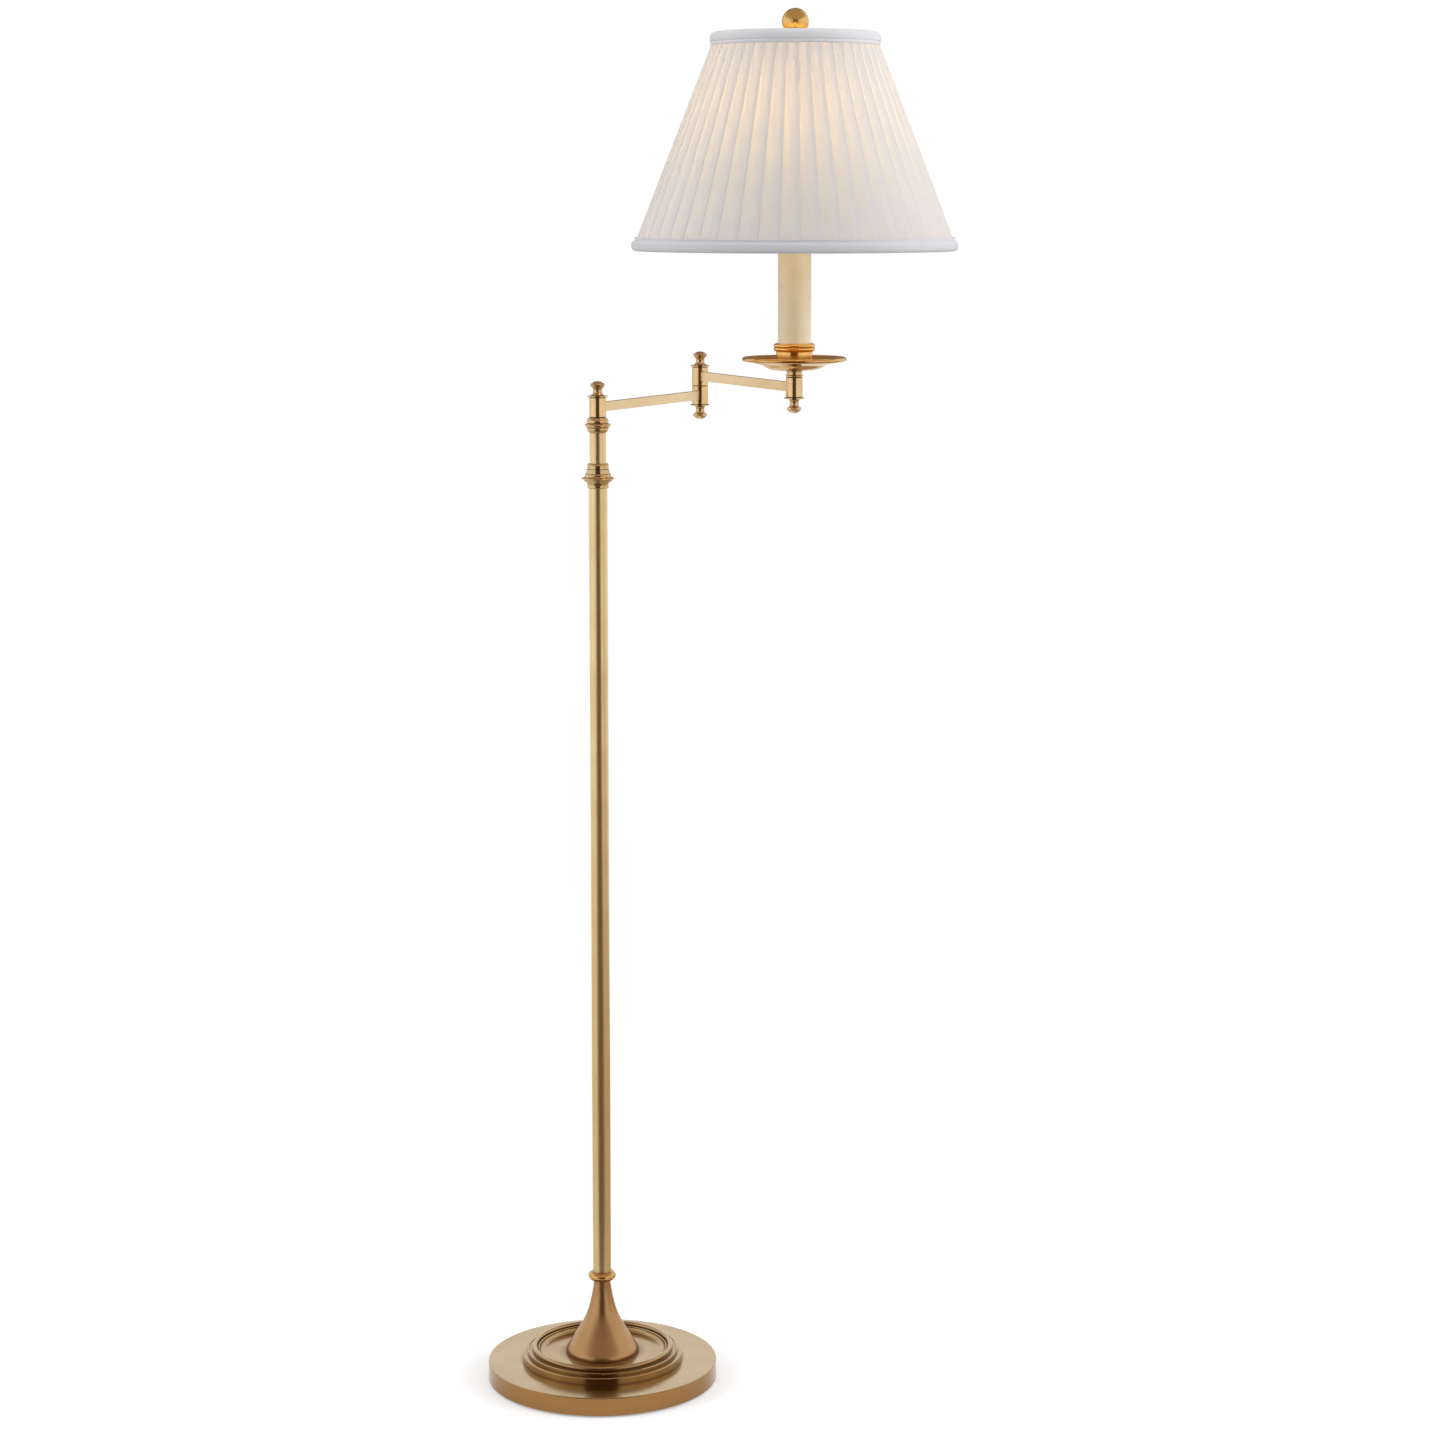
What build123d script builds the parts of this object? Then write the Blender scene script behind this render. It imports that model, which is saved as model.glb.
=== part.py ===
from build123d import *
import os
from math import cos, hypot, pi, radians, sin, sqrt

# Swing arm floor lamp: brass stand, two hinged arms and a candle shaped head under a pleated shade.
# Millimetres, +Z up. The origin is on the floor, on the pole's axis.

# Clearances
fit_gap = 0.05           # radial slack of a tube in its socket and of a post in its hole
run_gap = 0.05           # radial slack of a turning post in its bush
weld_gap = 0.05          # a bar's hollowed end stands this far off its barrel
cloth_gap = 0.3          # between the cloth layers of the shade

# Base
felt_thickness = 2.0
felt_margin = 4.0        # the felt stays this far inside the cover's edge
base_radius = 127.0
base_height = 20.0
base_edge = 1.2          # rounding of the cover's upper edge
cover_wall = 1.5
weight_slack = 0.2
nut_recess_radius = 18.0
nut_recess_depth = 12.0
nut_across_flats = 16.0
nut_height = 6.0
base_washer_radius = 13.0
base_washer_thickness = 1.5

# Cord outlet in the back of the base
bushing_bore = 3.6       # radius
bushing_wall = 1.1
bushing_flange = 2.0     # how far the flange reaches past the sleeve
bushing_flange_thickness = 1.5
bushing_length = 9.0
channel_slack = 0.8

# Stepped dish on the base
dish_radius = 89.0
dish_step = 8.0          # height of the outer step
dish_edge = 1.2          # rounding of its upper edge
dish_tread = 5.6         # its flat top, as far as the middle bead
dish_bead = 1.6          # width of the middle bead
dish_bead_rise = 4.0
dish_second_tread = 3.8
dish_ridge_width = 5.2
dish_ridge_rise = 4.7
dish_groove = 1.0        # width of the groove inside the ridge
dish_groove_drop = 1.8   # its floor lies this far below the ridge's round
dish_lip_width = 1.5     # small round lip between the groove and the slope
dish_lip_rise = 0.5      # straight part of the lip over the groove's floor
dish_slope = 5.0         # plan width of the inner slope down to the floor
dish_floor_rise = 8.0    # floor of the dish over the base
dish_wall = 2.5
dish_hub_radius = 20.0

# Trumpet stem and neck bead
trumpet_height = 82.9
trumpet_foot = 40.8      # radius
trumpet_neck = 9.0       # radius
trumpet_wall = 1.5
trumpet_curve = ((0.037, 0.985), (0.088, 0.921), (0.19, 0.755), (0.31, 0.56), (0.42, 0.4),
                 (0.55, 0.248), (0.716, 0.123), (0.89, 0.035))  # share of height, share of flare
bead_radius = 15.4
bead_height = 9.4
bead_socket = 3.0
bead_spigot = 4.0

# Pole and lamp pipe
pole_radius = 10.05
pole_wall = 1.2
pole_length = 881.0
pipe_radius = 5.0
pipe_bore = 3.2          # radius
pole_wire_radius = 2.4
wire_end = 2.0           # a wire stops this short of its pipe's ends

# Large collar: each reach is past the pole's radius
collar_socket = 4.0      # how deep a tube sits in a collar
collar_lip_reach = 1.65
collar_lip_height = 1.4
collar_flare_reach = 3.2
collar_flare_height = 5.6
collar_rim_reach = 7.25
collar_rim_height = 4.2
collar_rim_edge = 2.2    # the rim's rounded edge
collar_ogee_height = 2.0
collar_bead_reach = 3.9
collar_bead_height = 2.6
collar_step_reach = 2.6
collar_step_height = 4.4
collar_cap_reach = 1.6
collar_cap_height = 4.0
collar_shoulder_height = 2.2
collar_groove = 0.5

# Upper tube and pivot collar
upper_radius = 8.83
upper_wall = 1.2
upper_length = 40.9
pivot_lower_height = 5.8
pivot_ring_height = 4.2
pivot_upper_height = 6.5
pivot_body_reach = 2.3   # past the upper tube's radius
pivot_ring_reach = 4.9
pivot_pipe_depth = 9.0   # how far up the collar the lamp pipe reaches

# Swivels
barrel_radius = 8.9
barrel_height = 21.0
barrel_edge = 0.5
bush_wall = 1.2
post_radius = 4.0
post_bore = 2.2          # radius
washer_thickness = 0.5
washer_inset = 0.6       # the washers stay this far inside the barrels' outside
wire_hole_radius = 1.8

# Finials on the posts' ends
finial_flange_radius = 10.6
finial_flange_height = 1.2
finial_bell_height = 4.0
finial_neck_radius = 4.75
finial_neck_height = 2.2
finial_cup_radius = 6.6
finial_cup_height = 3.2
finial_cap_radius = 7.9
finial_cap_height = 2.3
finial_dome_height = 4.0
finial_stud_length = 8.0
thread_gap = 0.05

# Arms
arm_length = 240.0       # from pivot to pivot
arm_height = 10.0
arm_thickness = 6.0
arm_wall = 1.2
first_heading = 62.6     # degrees from +X, as the lamp stands
second_heading = -65.3
arm_wire_radius = 1.5
head_wire_radius = 1.4

# Stem collar, drip pan and candle
stem_bead_radius = 9.4
stem_bead_height = 2.7
stem_waist_radius = 7.9
stem_waist_height = 2.8
stem_ring_radius = 9.8
stem_ring_height = 2.0
pan_radius = 55.8
pan_rim = 2.4            # radius of the rolled rim
pan_depth = 11.4         # from the underside to the middle of the rim
pan_foot_margin = 0.6    # flat of the pan past the cup's foot
pan_bowl = 34.0          # radius where the bowl turns into the brim
pan_bowl_depth = 5.2
pan_wall = 1.4
cup_radius = 19.35
cup_foot_inset = 2.3
cup_body_height = 19.2
cup_ring_radius = 22.2
cup_ring_height = 3.6
cup_groove = 1.2         # depth of the groove between the rings
cup_lip_height = 0.8
cup_floor = 3.0
sleeve_radius = 17.7
sleeve_wall = 1.5
sleeve_length = 162.8
candle_cap_plate = 1.5
candle_cap_wall = 0.9
candle_cap_skirt = 4.0

# Lamp socket and bulb
saddle_thickness = 1.5
saddle_width = 12.0
socket_shell_radius = 16.7
socket_shell_wall = 0.7
socket_shell_length = 41.0
socket_cap_wall = 0.8
socket_cap_hub = 8.0     # radius of the cap's flat hub
socket_cap_floor = 2.0
socket_cap_cone = 8.0    # height of the cap's cone over its hub's underside
socket_cap_ledge = 1.5   # flat under the shell, over the cone
socket_cap_skirt = 7.0
liner_wall = 0.6
socket_body_height = 12.0
socket_body_foot = 6.8   # radius of the foot in the cap's cone
screw_shell_wall = 0.8
bulb_base_radius = 13.2
bulb_base_length = 23.0
contact_radius = 4.0
contact_height = 1.6
bulb_radius = 30.0
bulb_length = 83.0       # glass, from the base to the tip
bulb_neck_length = 12.0
bulb_shoulder = radians(20)  # where the neck meets the round, below the widest part
bulb_wall = 0.8

# Turn knob of the socket
knob_spindle_radius = 1.5
knob_reach = 5.0         # clear stretch of spindle between the shell and the knob
knob_radius = 4.6
knob_length = 11.0
knob_grip = 5.0          # thickness of the knob's flat grip
knob_socket = 8.0        # how deep the spindle sits in the socket body

# Harp
harp_spread = 27.0       # from the head's axis to each leg's foot
harp_waist = 50.0        # the same at the widest part
harp_height = 163.0      # from the saddle to the seat of the spider
harp_wire = 1.8          # radius
harp_sleeve = 3.4        # radius of the sleeves on the saddle's posts
harp_sleeve_length = 14.0
harp_post = 2.4          # radius of the saddle's posts
harp_waist_foot = 56.0   # heights over the saddle between which it is widest
harp_waist_top = 98.0
harp_bend = 9.0          # radius of its bends
harp_seat = 9.0          # radius of the seat under the spider
harp_seat_thickness = 2.5
harp_stud_radius = 2.3
harp_stud_length = 13.0

# Shade
shade_foot_radius = 173.2  # outside of the pleats, carried on down to the hem's lower edge
shade_top_radius = 83.6    # the same at the upper edge
shade_height = 228.9
shade_hub_drop = 22.3      # the spider's hub lies this far below the upper edge
pleat_count = 48
pleat_depth = 1.6
pleat_cloth = 1.0
pleat_step = 0.12          # share of a pleat that its folded edge takes up
lining_thickness = 1.0
hem_bulge = 0.7            # the lower trim's band stands this far out past the pleats' line
hem_band_height = 11.2
hem_round = 4.0
hem_lip_bulge = 2.2        # the sewn lip over the band, past the pleats
hem_lip_height = 3.4
hem_web = 6.0              # thickness of the hem under the pleats
hem_depth = 10.5           # how far the hem reaches in
crown_bulge = 1.4          # the upper trim's band, past the pleats at its lower edge
crown_height = 14.0
crown_web = 4.0
crown_depth = 10.0
crown_round = 6.0
crown_lip_inset = 0.6      # the sewn lip under the upper trim's band
crown_lip_height = 3.2
lip_round = 0.8
ring_wire = 1.6            # radius of the frame's rings and arms
hub_radius = 12.0
hub_thickness = 1.5
spider_arms = 3
spider_heading = 30.0      # of the spider's first arm, degrees from +X
ball_radius = 14.15
ball_rise = 33.2           # from the hub to the middle of the ball
ball_neck = 5.6            # radius

# Heights, from the floor up
base_top = felt_thickness + base_height
recess_top = felt_thickness + nut_recess_depth
dish_floor = base_top + dish_floor_rise
bead_foot = dish_floor + trumpet_height
pole_foot = bead_foot + bead_height - bead_socket
pole_top = pole_foot + pole_length
collar_foot = pole_top - collar_socket
collar_height = (collar_lip_height + collar_flare_height + collar_rim_height + collar_ogee_height
                 + collar_bead_height + collar_step_height + collar_cap_height + collar_shoulder_height)
upper_foot = collar_foot + collar_height - collar_socket
upper_top = upper_foot + upper_length
pivot_foot = upper_top - collar_socket
pivot_top = pivot_foot + pivot_lower_height + pivot_ring_height + pivot_upper_height
pipe_foot = felt_thickness + wire_end
pipe_top = pivot_foot + pivot_pipe_depth
first_barrel_foot = pivot_top + washer_thickness
first_arm_level = first_barrel_foot + barrel_height / 2
first_barrel_top = first_barrel_foot + barrel_height
second_barrel_foot = first_barrel_top + washer_thickness
second_arm_level = second_barrel_foot + barrel_height / 2
second_barrel_top = second_barrel_foot + barrel_height
head_foot = second_barrel_foot - washer_thickness
stem_foot = second_barrel_top + washer_thickness
pan_level = stem_foot + stem_bead_height + stem_waist_height + stem_ring_height
cup_level = pan_level + pan_wall
sleeve_foot = cup_level + cup_floor
sleeve_top = sleeve_foot + sleeve_length
saddle_foot = sleeve_top + candle_cap_plate
socket_foot = saddle_foot + saddle_thickness
socket_floor = socket_foot + socket_cap_floor
socket_seat = socket_foot + socket_cap_cone + socket_cap_ledge
knob_level = socket_seat + socket_body_height / 2
screw_foot = socket_seat + socket_body_height
bulb_base_foot = screw_foot + contact_height
glass_foot = bulb_base_foot + bulb_base_length
hub_level = socket_foot + harp_height
shade_top = hub_level + shade_hub_drop
shade_foot = shade_top - shade_height

# Pivots in plan
back = 180.0
pole_at = (0.0, 0.0)
elbow_at = (arm_length * cos(radians(first_heading)), arm_length * sin(radians(first_heading)))
head_at = (elbow_at[0] + arm_length * cos(radians(second_heading)),
           elbow_at[1] + arm_length * sin(radians(second_heading)))

# Sizes that follow what passes through or lies beside them
pipe_hole = pipe_radius + fit_gap
post_hole = post_radius + fit_gap
bush_bore = post_radius + run_gap
bush_radius = bush_bore + bush_wall
bushing_radius = bushing_bore + bushing_wall
channel_width = 2 * (bushing_radius + channel_slack)
outlet_level = felt_thickness + channel_width / 2
cup_foot = cup_radius - cup_foot_inset
pan_foot = cup_foot + pan_foot_margin
liner_radius = socket_shell_radius - socket_shell_wall - fit_gap
socket_body_radius = liner_radius - liner_wall - fit_gap
socket_cap_radius = socket_shell_radius + fit_gap + socket_cap_wall
knob_hole = knob_spindle_radius + run_gap
cloth_foot = hem_web + cloth_gap
cloth_top = shade_height - crown_web - cloth_gap
shade_slope = (shade_foot_radius - shade_top_radius) / shade_height
pleat_inside = pleat_depth + pleat_cloth
lining_outside = pleat_inside + cloth_gap
lining_inside = lining_outside + lining_thickness

# How far arcs stand off their chords, as a share of the chord
half_round = 0.5
quarter_round = (1 - cos(pi / 4)) / (2 * sin(pi / 4))
three_quarter_round = (1 + cos(pi / 4)) / (2 * sin(pi / 4))
slight_round = 0.1


def bow(radius, start, end):
    """How far an arc of a radius stands off its chord, as a share of the chord."""
    chord = hypot(end[0] - start[0], end[1] - start[1])
    return (radius - sqrt(radius ** 2 - chord ** 2 / 4)) / chord


def turned(*steps, at=pole_at, level=0.0):
    """Spin a closed outline of (radius, height) steps, in order up its outside, about an upright axis.

    A third number makes an arc that bows out by that share of its chord, or in where it is negative.
    A list of points is a smooth curve.
    """
    edges = []
    first = last = Vector(steps[0][0], 0, steps[0][1])
    for step in steps[1:]:
        if isinstance(step, list):
            points = [last] + [Vector(radius, 0, height) for radius, height in step]
            edges.append(Spline(*points))
            last = points[-1]
            continue
        end = Vector(step[0], 0, step[1])
        if len(step) == 3:
            chord = end - last
            middle = (last + end) / 2 + Vector(chord.Z, 0, -chord.X) * step[2]
            edges.append(ThreePointArc(last, middle, end))
        else:
            edges.append(Line(last, end))
        last = end
    if (first - last).length > 0:
        edges.append(Line(last, first))
    return Pos(at[0], at[1], level) * revolve(make_face(Curve() + edges), Axis.Z)


def tube(outside, inside, foot, top, at=pole_at):
    """An upright tube between two heights."""
    return turned((inside, foot), (outside, foot), (outside, top), (inside, top), at=at)


def rod(radius, foot, top, at=pole_at):
    """An upright round bar between two heights."""
    return Pos(at[0], at[1], (foot + top) / 2) * Cylinder(radius, top - foot)


def level_rod(radius, start, length, heading, level, at):
    """A round bar lying level, from start to start + length out from an upright axis."""
    out = Pos(start + length / 2, 0, 0) * Rot(0, 90, 0) * Cylinder(radius, length)
    return Pos(at[0], at[1], level) * Rot(0, 0, heading) * out


# Base

def outlet_rod(radius, start, length):
    """A level round bar on the cord outlet's axis, which leaves the base at its back."""
    return level_rod(radius, start, length, 90, outlet_level, pole_at)


def base_felt():
    return rod(base_radius - felt_margin, 0, felt_thickness)


def base_cover():
    inside = base_radius - cover_wall
    under = base_top - cover_wall
    shell = turned((pipe_hole, under), (inside, under), (inside, felt_thickness),
                   (base_radius, felt_thickness), (base_radius, base_top - base_edge),
                   (base_radius - base_edge, base_top, quarter_round), (pipe_hole, base_top))
    return shell - outlet_rod(bushing_radius + fit_gap, 0, 2 * base_radius)


def base_weight():
    radius = base_radius - cover_wall - weight_slack
    disc = tube(radius, pipe_hole, felt_thickness, base_top - cover_wall)
    recess = rod(nut_recess_radius, felt_thickness, recess_top)
    channel = Pos(0, radius / 2, outlet_level) * Box(channel_width, radius, channel_width)
    return disc - recess - channel


def base_washer():
    return tube(base_washer_radius, pipe_hole, recess_top - base_washer_thickness, recess_top)


def base_nut():
    foot = recess_top - base_washer_thickness - nut_height
    hexagon = RegularPolygon(nut_across_flats / 2, 6, major_radius=False) - Circle(pipe_hole)
    return Pos(0, 0, foot) * extrude(hexagon, nut_height)


def cord_bushing():
    start = base_radius - bushing_length
    sleeve = outlet_rod(bushing_radius, start, bushing_length)
    flange = outlet_rod(bushing_radius + bushing_flange, base_radius, bushing_flange_thickness)
    return sleeve + flange - outlet_rod(bushing_bore, start, bushing_length + bushing_flange_thickness)


def dish_ring():
    bead_out = dish_radius - dish_tread
    bead_in = bead_out - dish_bead
    ridge_out = bead_in - dish_second_tread
    ridge_in = ridge_out - dish_ridge_width
    step_top = base_top + dish_step
    bead_side = step_top + dish_bead_rise - dish_bead / 2
    ridge_side = step_top + dish_bead_rise + dish_ridge_rise - dish_ridge_width / 2
    groove_floor = ridge_side - dish_groove_drop
    lip_out = ridge_in - dish_groove
    lip_in = lip_out - dish_lip_width
    lip_side = groove_floor + dish_lip_rise
    under = dish_floor - dish_wall
    rim_inside = dish_radius - 2 * dish_wall
    return turned((pipe_hole, base_top), (dish_hub_radius, base_top), (dish_hub_radius, under),
                  (rim_inside, under), (rim_inside, base_top), (dish_radius, base_top),
                  (dish_radius, step_top - dish_edge), (dish_radius - dish_edge, step_top, quarter_round),
                  (bead_out, step_top), (bead_out, bead_side), (bead_in, bead_side, half_round),
                  (ridge_out, bead_side), (ridge_out, ridge_side), (ridge_in, ridge_side, half_round),
                  (ridge_in, groove_floor), (lip_out, groove_floor), (lip_out, lip_side),
                  (lip_in, lip_side, half_round), (lip_in - dish_slope, dish_floor, -quarter_round),
                  (pipe_hole, dish_floor))


# Stem and pole

def trumpet_stem():
    flare = trumpet_foot - trumpet_neck
    curve = [(trumpet_neck + flare * out, dish_floor + trumpet_height * up) for up, out in trumpet_curve]
    outer = curve + [(trumpet_neck, bead_foot)]
    inner = [(radius - trumpet_wall, height) for radius, height in reversed(curve)]
    start = (trumpet_foot - trumpet_wall, dish_floor)
    return turned(start, (trumpet_foot, dish_floor), outer, (trumpet_neck - trumpet_wall, bead_foot),
                  inner + [start])


def neck_bead():
    top = bead_foot + bead_height
    edge = bead_radius - bead_height / 2
    spigot = trumpet_neck - trumpet_wall - fit_gap
    socket = pole_radius + fit_gap
    return turned((pipe_hole, bead_foot - bead_spigot), (spigot, bead_foot - bead_spigot),
                  (spigot, bead_foot), (edge, bead_foot), (edge, top, half_round),
                  (socket, top), (socket, pole_foot), (pipe_hole, pole_foot))


def pole_tube():
    return tube(pole_radius, pole_radius - pole_wall, pole_foot, pole_top)


def pole_pipe():
    return tube(pipe_radius, pipe_bore, pipe_foot, pipe_top)


def pole_wire():
    return rod(pole_wire_radius, pipe_foot + wire_end, pipe_top - wire_end)


def pole_collar():
    lower_socket = pole_radius + fit_gap
    upper_socket = upper_radius + fit_gap
    lip = pole_radius + collar_lip_reach
    flare = pole_radius + collar_flare_reach
    rim_side = pole_radius + collar_rim_reach - collar_rim_edge / 2
    bead = pole_radius + collar_bead_reach
    step = pole_radius + collar_step_reach
    cap = pole_radius + collar_cap_reach
    lip_top = collar_foot + collar_lip_height
    flare_top = lip_top + collar_flare_height
    rim_top = flare_top + collar_rim_height
    ogee_top = rim_top + collar_ogee_height
    bead_top = ogee_top + collar_bead_height
    step_top = bead_top + collar_step_height
    cap_top = step_top + collar_cap_height
    top = cap_top + collar_shoulder_height
    return turned((lower_socket, collar_foot), (pole_radius + collar_lip_reach / 2, collar_foot),
                  (lip, lip_top, quarter_round), (flare, flare_top, -slight_round),
                  (rim_side, rim_top - collar_rim_edge, quarter_round), (rim_side, rim_top, half_round),
                  (bead, ogee_top, -quarter_round), (step, bead_top, quarter_round),
                  (cap + collar_groove, step_top), (cap - collar_groove, step_top),
                  (cap, step_top + collar_groove), (cap, cap_top),
                  (upper_socket + fit_gap, top, quarter_round), (upper_socket, top),
                  (upper_socket, upper_foot), (pipe_hole, upper_foot), (pipe_hole, pole_top),
                  (lower_socket, pole_top))


def upper_tube():
    return tube(upper_radius, upper_radius - upper_wall, upper_foot, upper_top)


def pivot_collar():
    socket = upper_radius + fit_gap
    body = upper_radius + pivot_body_reach
    ring_foot = pivot_foot + pivot_lower_height
    ring_top = ring_foot + pivot_ring_height
    ring_side = upper_radius + pivot_ring_reach - pivot_ring_height / 2
    return turned((socket, pivot_foot), (socket + fit_gap, pivot_foot), (body, ring_foot, quarter_round),
                  (ring_side, ring_foot), (ring_side, ring_top, half_round), (body, ring_top),
                  (barrel_radius, pivot_top, quarter_round), (post_hole, pivot_top),
                  (post_hole, pipe_top), (pipe_hole, pipe_top), (pipe_hole, upper_top),
                  (socket, upper_top))


# Swivels

def wire_hole(at, heading, level):
    """The way for the wire out of a post, through its bush and barrel, into an arm."""
    return level_rod(wire_hole_radius, 0, 2 * barrel_radius, heading, level, at)


def post(foot, top, at, holes):
    """A hollow pivot post with side holes for the wire, as (heading, level) pairs."""
    shape = tube(post_radius, post_bore, foot, top, at)
    for heading, level in holes:
        shape -= wire_hole(at, heading, level)
    return shape


def barrel(foot, at, bore, heading):
    top = foot + barrel_height
    edge = barrel_radius - barrel_edge
    shape = turned((bore, foot), (edge, foot), (barrel_radius, foot + barrel_edge),
                   (barrel_radius, top - barrel_edge), (edge, top), (bore, top), at=at)
    return shape - wire_hole(at, heading, foot + barrel_height / 2)


def bush(foot, at, heading):
    shape = tube(bush_radius, bush_bore, foot, foot + barrel_height, at)
    return shape - wire_hole(at, heading, foot + barrel_height / 2)


def washers(levels, at):
    """Flat friction washers lying at the given heights."""
    radius = barrel_radius - washer_inset
    return Compound(children=[tube(radius, post_hole, z, z + washer_thickness, at) for z in levels])


def finial(level, at, upright=True):
    """A turned knob that screws into a post's end."""
    bell_foot = finial_flange_height
    neck_foot = bell_foot + finial_bell_height
    cup_level = neck_foot + finial_neck_height
    cap_level = cup_level + finial_cup_height
    dome_level = cap_level + finial_cap_height
    top = dome_level + finial_dome_height
    ball = (finial_cap_radius ** 2 + finial_dome_height ** 2) / (2 * finial_dome_height)
    dome = bow(ball, (finial_cap_radius, dome_level), (0, top))
    stud = post_bore - thread_gap
    knob = turned((0, -finial_stud_length), (stud, -finial_stud_length), (stud, 0),
                  (finial_flange_radius, 0), (finial_flange_radius, bell_foot),
                  (finial_neck_radius, neck_foot, -quarter_round), (finial_neck_radius, cup_level),
                  (finial_cup_radius, cap_level, -slight_round),
                  ((finial_cup_radius + finial_cap_radius) / 2, cap_level),
                  (finial_cap_radius, dome_level), (0, top, dome))
    if not upright:
        knob = mirror(knob, about=Plane.XY)
    return Pos(at[0], at[1], level) * knob


# Arms

def arm_bar(start, heading, level):
    bar = Box(arm_length, arm_thickness, arm_height)
    bar -= Box(arm_length, arm_thickness - 2 * arm_wall, arm_height - 2 * arm_wall)
    for end in (-arm_length / 2, arm_length / 2):
        bar -= Pos(end, 0, 0) * Cylinder(barrel_radius + weld_gap, 2 * arm_height)
    return Pos(start[0], start[1], level) * Rot(0, 0, heading) * Pos(arm_length / 2, 0, 0) * bar


def arm_wire(start, heading, level):
    rest = level - arm_height / 2 + arm_wall + arm_wire_radius
    clear = barrel_radius + wire_end
    return level_rod(arm_wire_radius, clear, arm_length - 2 * clear, heading, rest, start)


# Head, from its lower finial up to the candle

def head_wire():
    return rod(head_wire_radius, second_arm_level, socket_floor - wire_end, head_at)


def stem_collar():
    bead_top = stem_foot + stem_bead_height
    waist_top = bead_top + stem_waist_height
    bead_side = stem_bead_radius - stem_bead_height / 2
    ring_side = stem_ring_radius - stem_ring_height / 2
    return turned((post_hole, stem_foot), (bead_side, stem_foot), (bead_side, bead_top, half_round),
                  (stem_waist_radius, bead_top), (stem_waist_radius, waist_top), (ring_side, waist_top),
                  (ring_side, pan_level, half_round), (post_hole, pan_level), at=head_at)


def drip_pan():
    rim_middle = pan_radius - pan_rim
    tuck = pan_rim * cos(pi / 4)
    return turned((post_hole, 0), (pan_foot, 0), (pan_bowl, pan_bowl_depth, slight_round),
                  (rim_middle - tuck, pan_depth - tuck),
                  (rim_middle - tuck, pan_depth + tuck, three_quarter_round),
                  (pan_bowl, pan_bowl_depth + pan_wall), (pan_foot, pan_wall, -slight_round),
                  (post_hole, pan_wall), at=head_at, level=pan_level)


def candle_cup():
    edge = cup_ring_radius - cup_groove
    second_ring = cup_body_height + cup_ring_height
    rings_top = second_ring + cup_ring_height
    top = rings_top + cup_lip_height
    inside = sleeve_radius + fit_gap
    ring_bow = cup_groove / cup_ring_height
    return turned((post_hole, 0), (cup_foot, 0), (cup_radius, cup_floor, quarter_round),
                  (cup_radius, cup_body_height - cup_groove), (edge, cup_body_height),
                  (edge, second_ring, ring_bow), (edge, rings_top, ring_bow), (cup_radius, top),
                  (inside, top), (inside, cup_floor), (post_hole, cup_floor),
                  at=head_at, level=cup_level)


def candle_sleeve():
    return tube(sleeve_radius, sleeve_radius - sleeve_wall, sleeve_foot, sleeve_top, head_at)


def candle_cap():
    inside = sleeve_radius + fit_gap
    outside = inside + candle_cap_wall
    skirt = sleeve_top - candle_cap_skirt
    return turned((post_hole, sleeve_top), (inside, sleeve_top), (inside, skirt), (outside, skirt),
                  (outside, sleeve_top), (inside, saddle_foot, quarter_round), (post_hole, saddle_foot),
                  at=head_at)


# Socket and bulb

def knob_rod(radius, start, length):
    """A round bar on the switch's axis, which points forward out of the socket."""
    return level_rod(radius, start, length, -90, knob_level, head_at)


def knob_way():
    """The hole through the socket's walls for the switch's spindle."""
    return knob_rod(knob_hole, socket_body_radius - knob_socket, 2 * knob_socket)


def socket_cap():
    inside = socket_shell_radius + fit_gap
    skirt_top = socket_seat + socket_cap_skirt
    foot_hole = socket_body_foot + fit_gap
    cap = turned((post_hole, socket_foot), (socket_cap_hub, socket_foot),
                 (socket_cap_radius, socket_foot + socket_cap_cone), (socket_cap_radius, skirt_top),
                 (inside, skirt_top), (inside, socket_seat), (foot_hole, socket_seat),
                 (foot_hole, socket_floor), (post_hole, socket_floor), at=head_at)
    return cap - knob_way()


def socket_wall(radius, wall):
    """One of the socket's thin upright walls, pierced for the switch."""
    return tube(radius, radius - wall, socket_seat, socket_seat + socket_shell_length, head_at) - knob_way()


def socket_body():
    block = turned((0, socket_floor), (socket_body_foot, socket_floor), (socket_body_foot, socket_seat),
                   (socket_body_radius, socket_seat), (socket_body_radius, screw_foot), (0, screw_foot),
                   at=head_at)
    return block - knob_way()


def screw_shell():
    inside = bulb_base_radius + fit_gap
    return tube(inside + screw_shell_wall, inside, screw_foot, glass_foot - wire_end, head_at)


def bulb_base():
    return turned((0, screw_foot), (contact_radius, screw_foot), (contact_radius, bulb_base_foot),
                  (bulb_base_radius - contact_height, bulb_base_foot),
                  (bulb_base_radius, bulb_base_foot + contact_height), (bulb_base_radius, glass_foot),
                  (0, glass_foot), at=head_at)


def bulb_form(inset):
    """The bulb's pear shape, drawn in by inset."""
    radius = bulb_radius - inset
    middle = glass_foot + bulb_length - bulb_radius
    neck = bulb_base_radius - inset
    neck_top = glass_foot + bulb_neck_length
    shoulder = (radius * cos(bulb_shoulder), middle - radius * sin(bulb_shoulder))
    tip = (0, middle + radius)
    return turned((0, glass_foot), (neck, glass_foot), (neck, neck_top), (*shoulder, -slight_round),
                  (*tip, bow(radius, shoulder, tip)), at=head_at)


def bulb_glass():
    return bulb_form(0) - bulb_form(bulb_wall)


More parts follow.
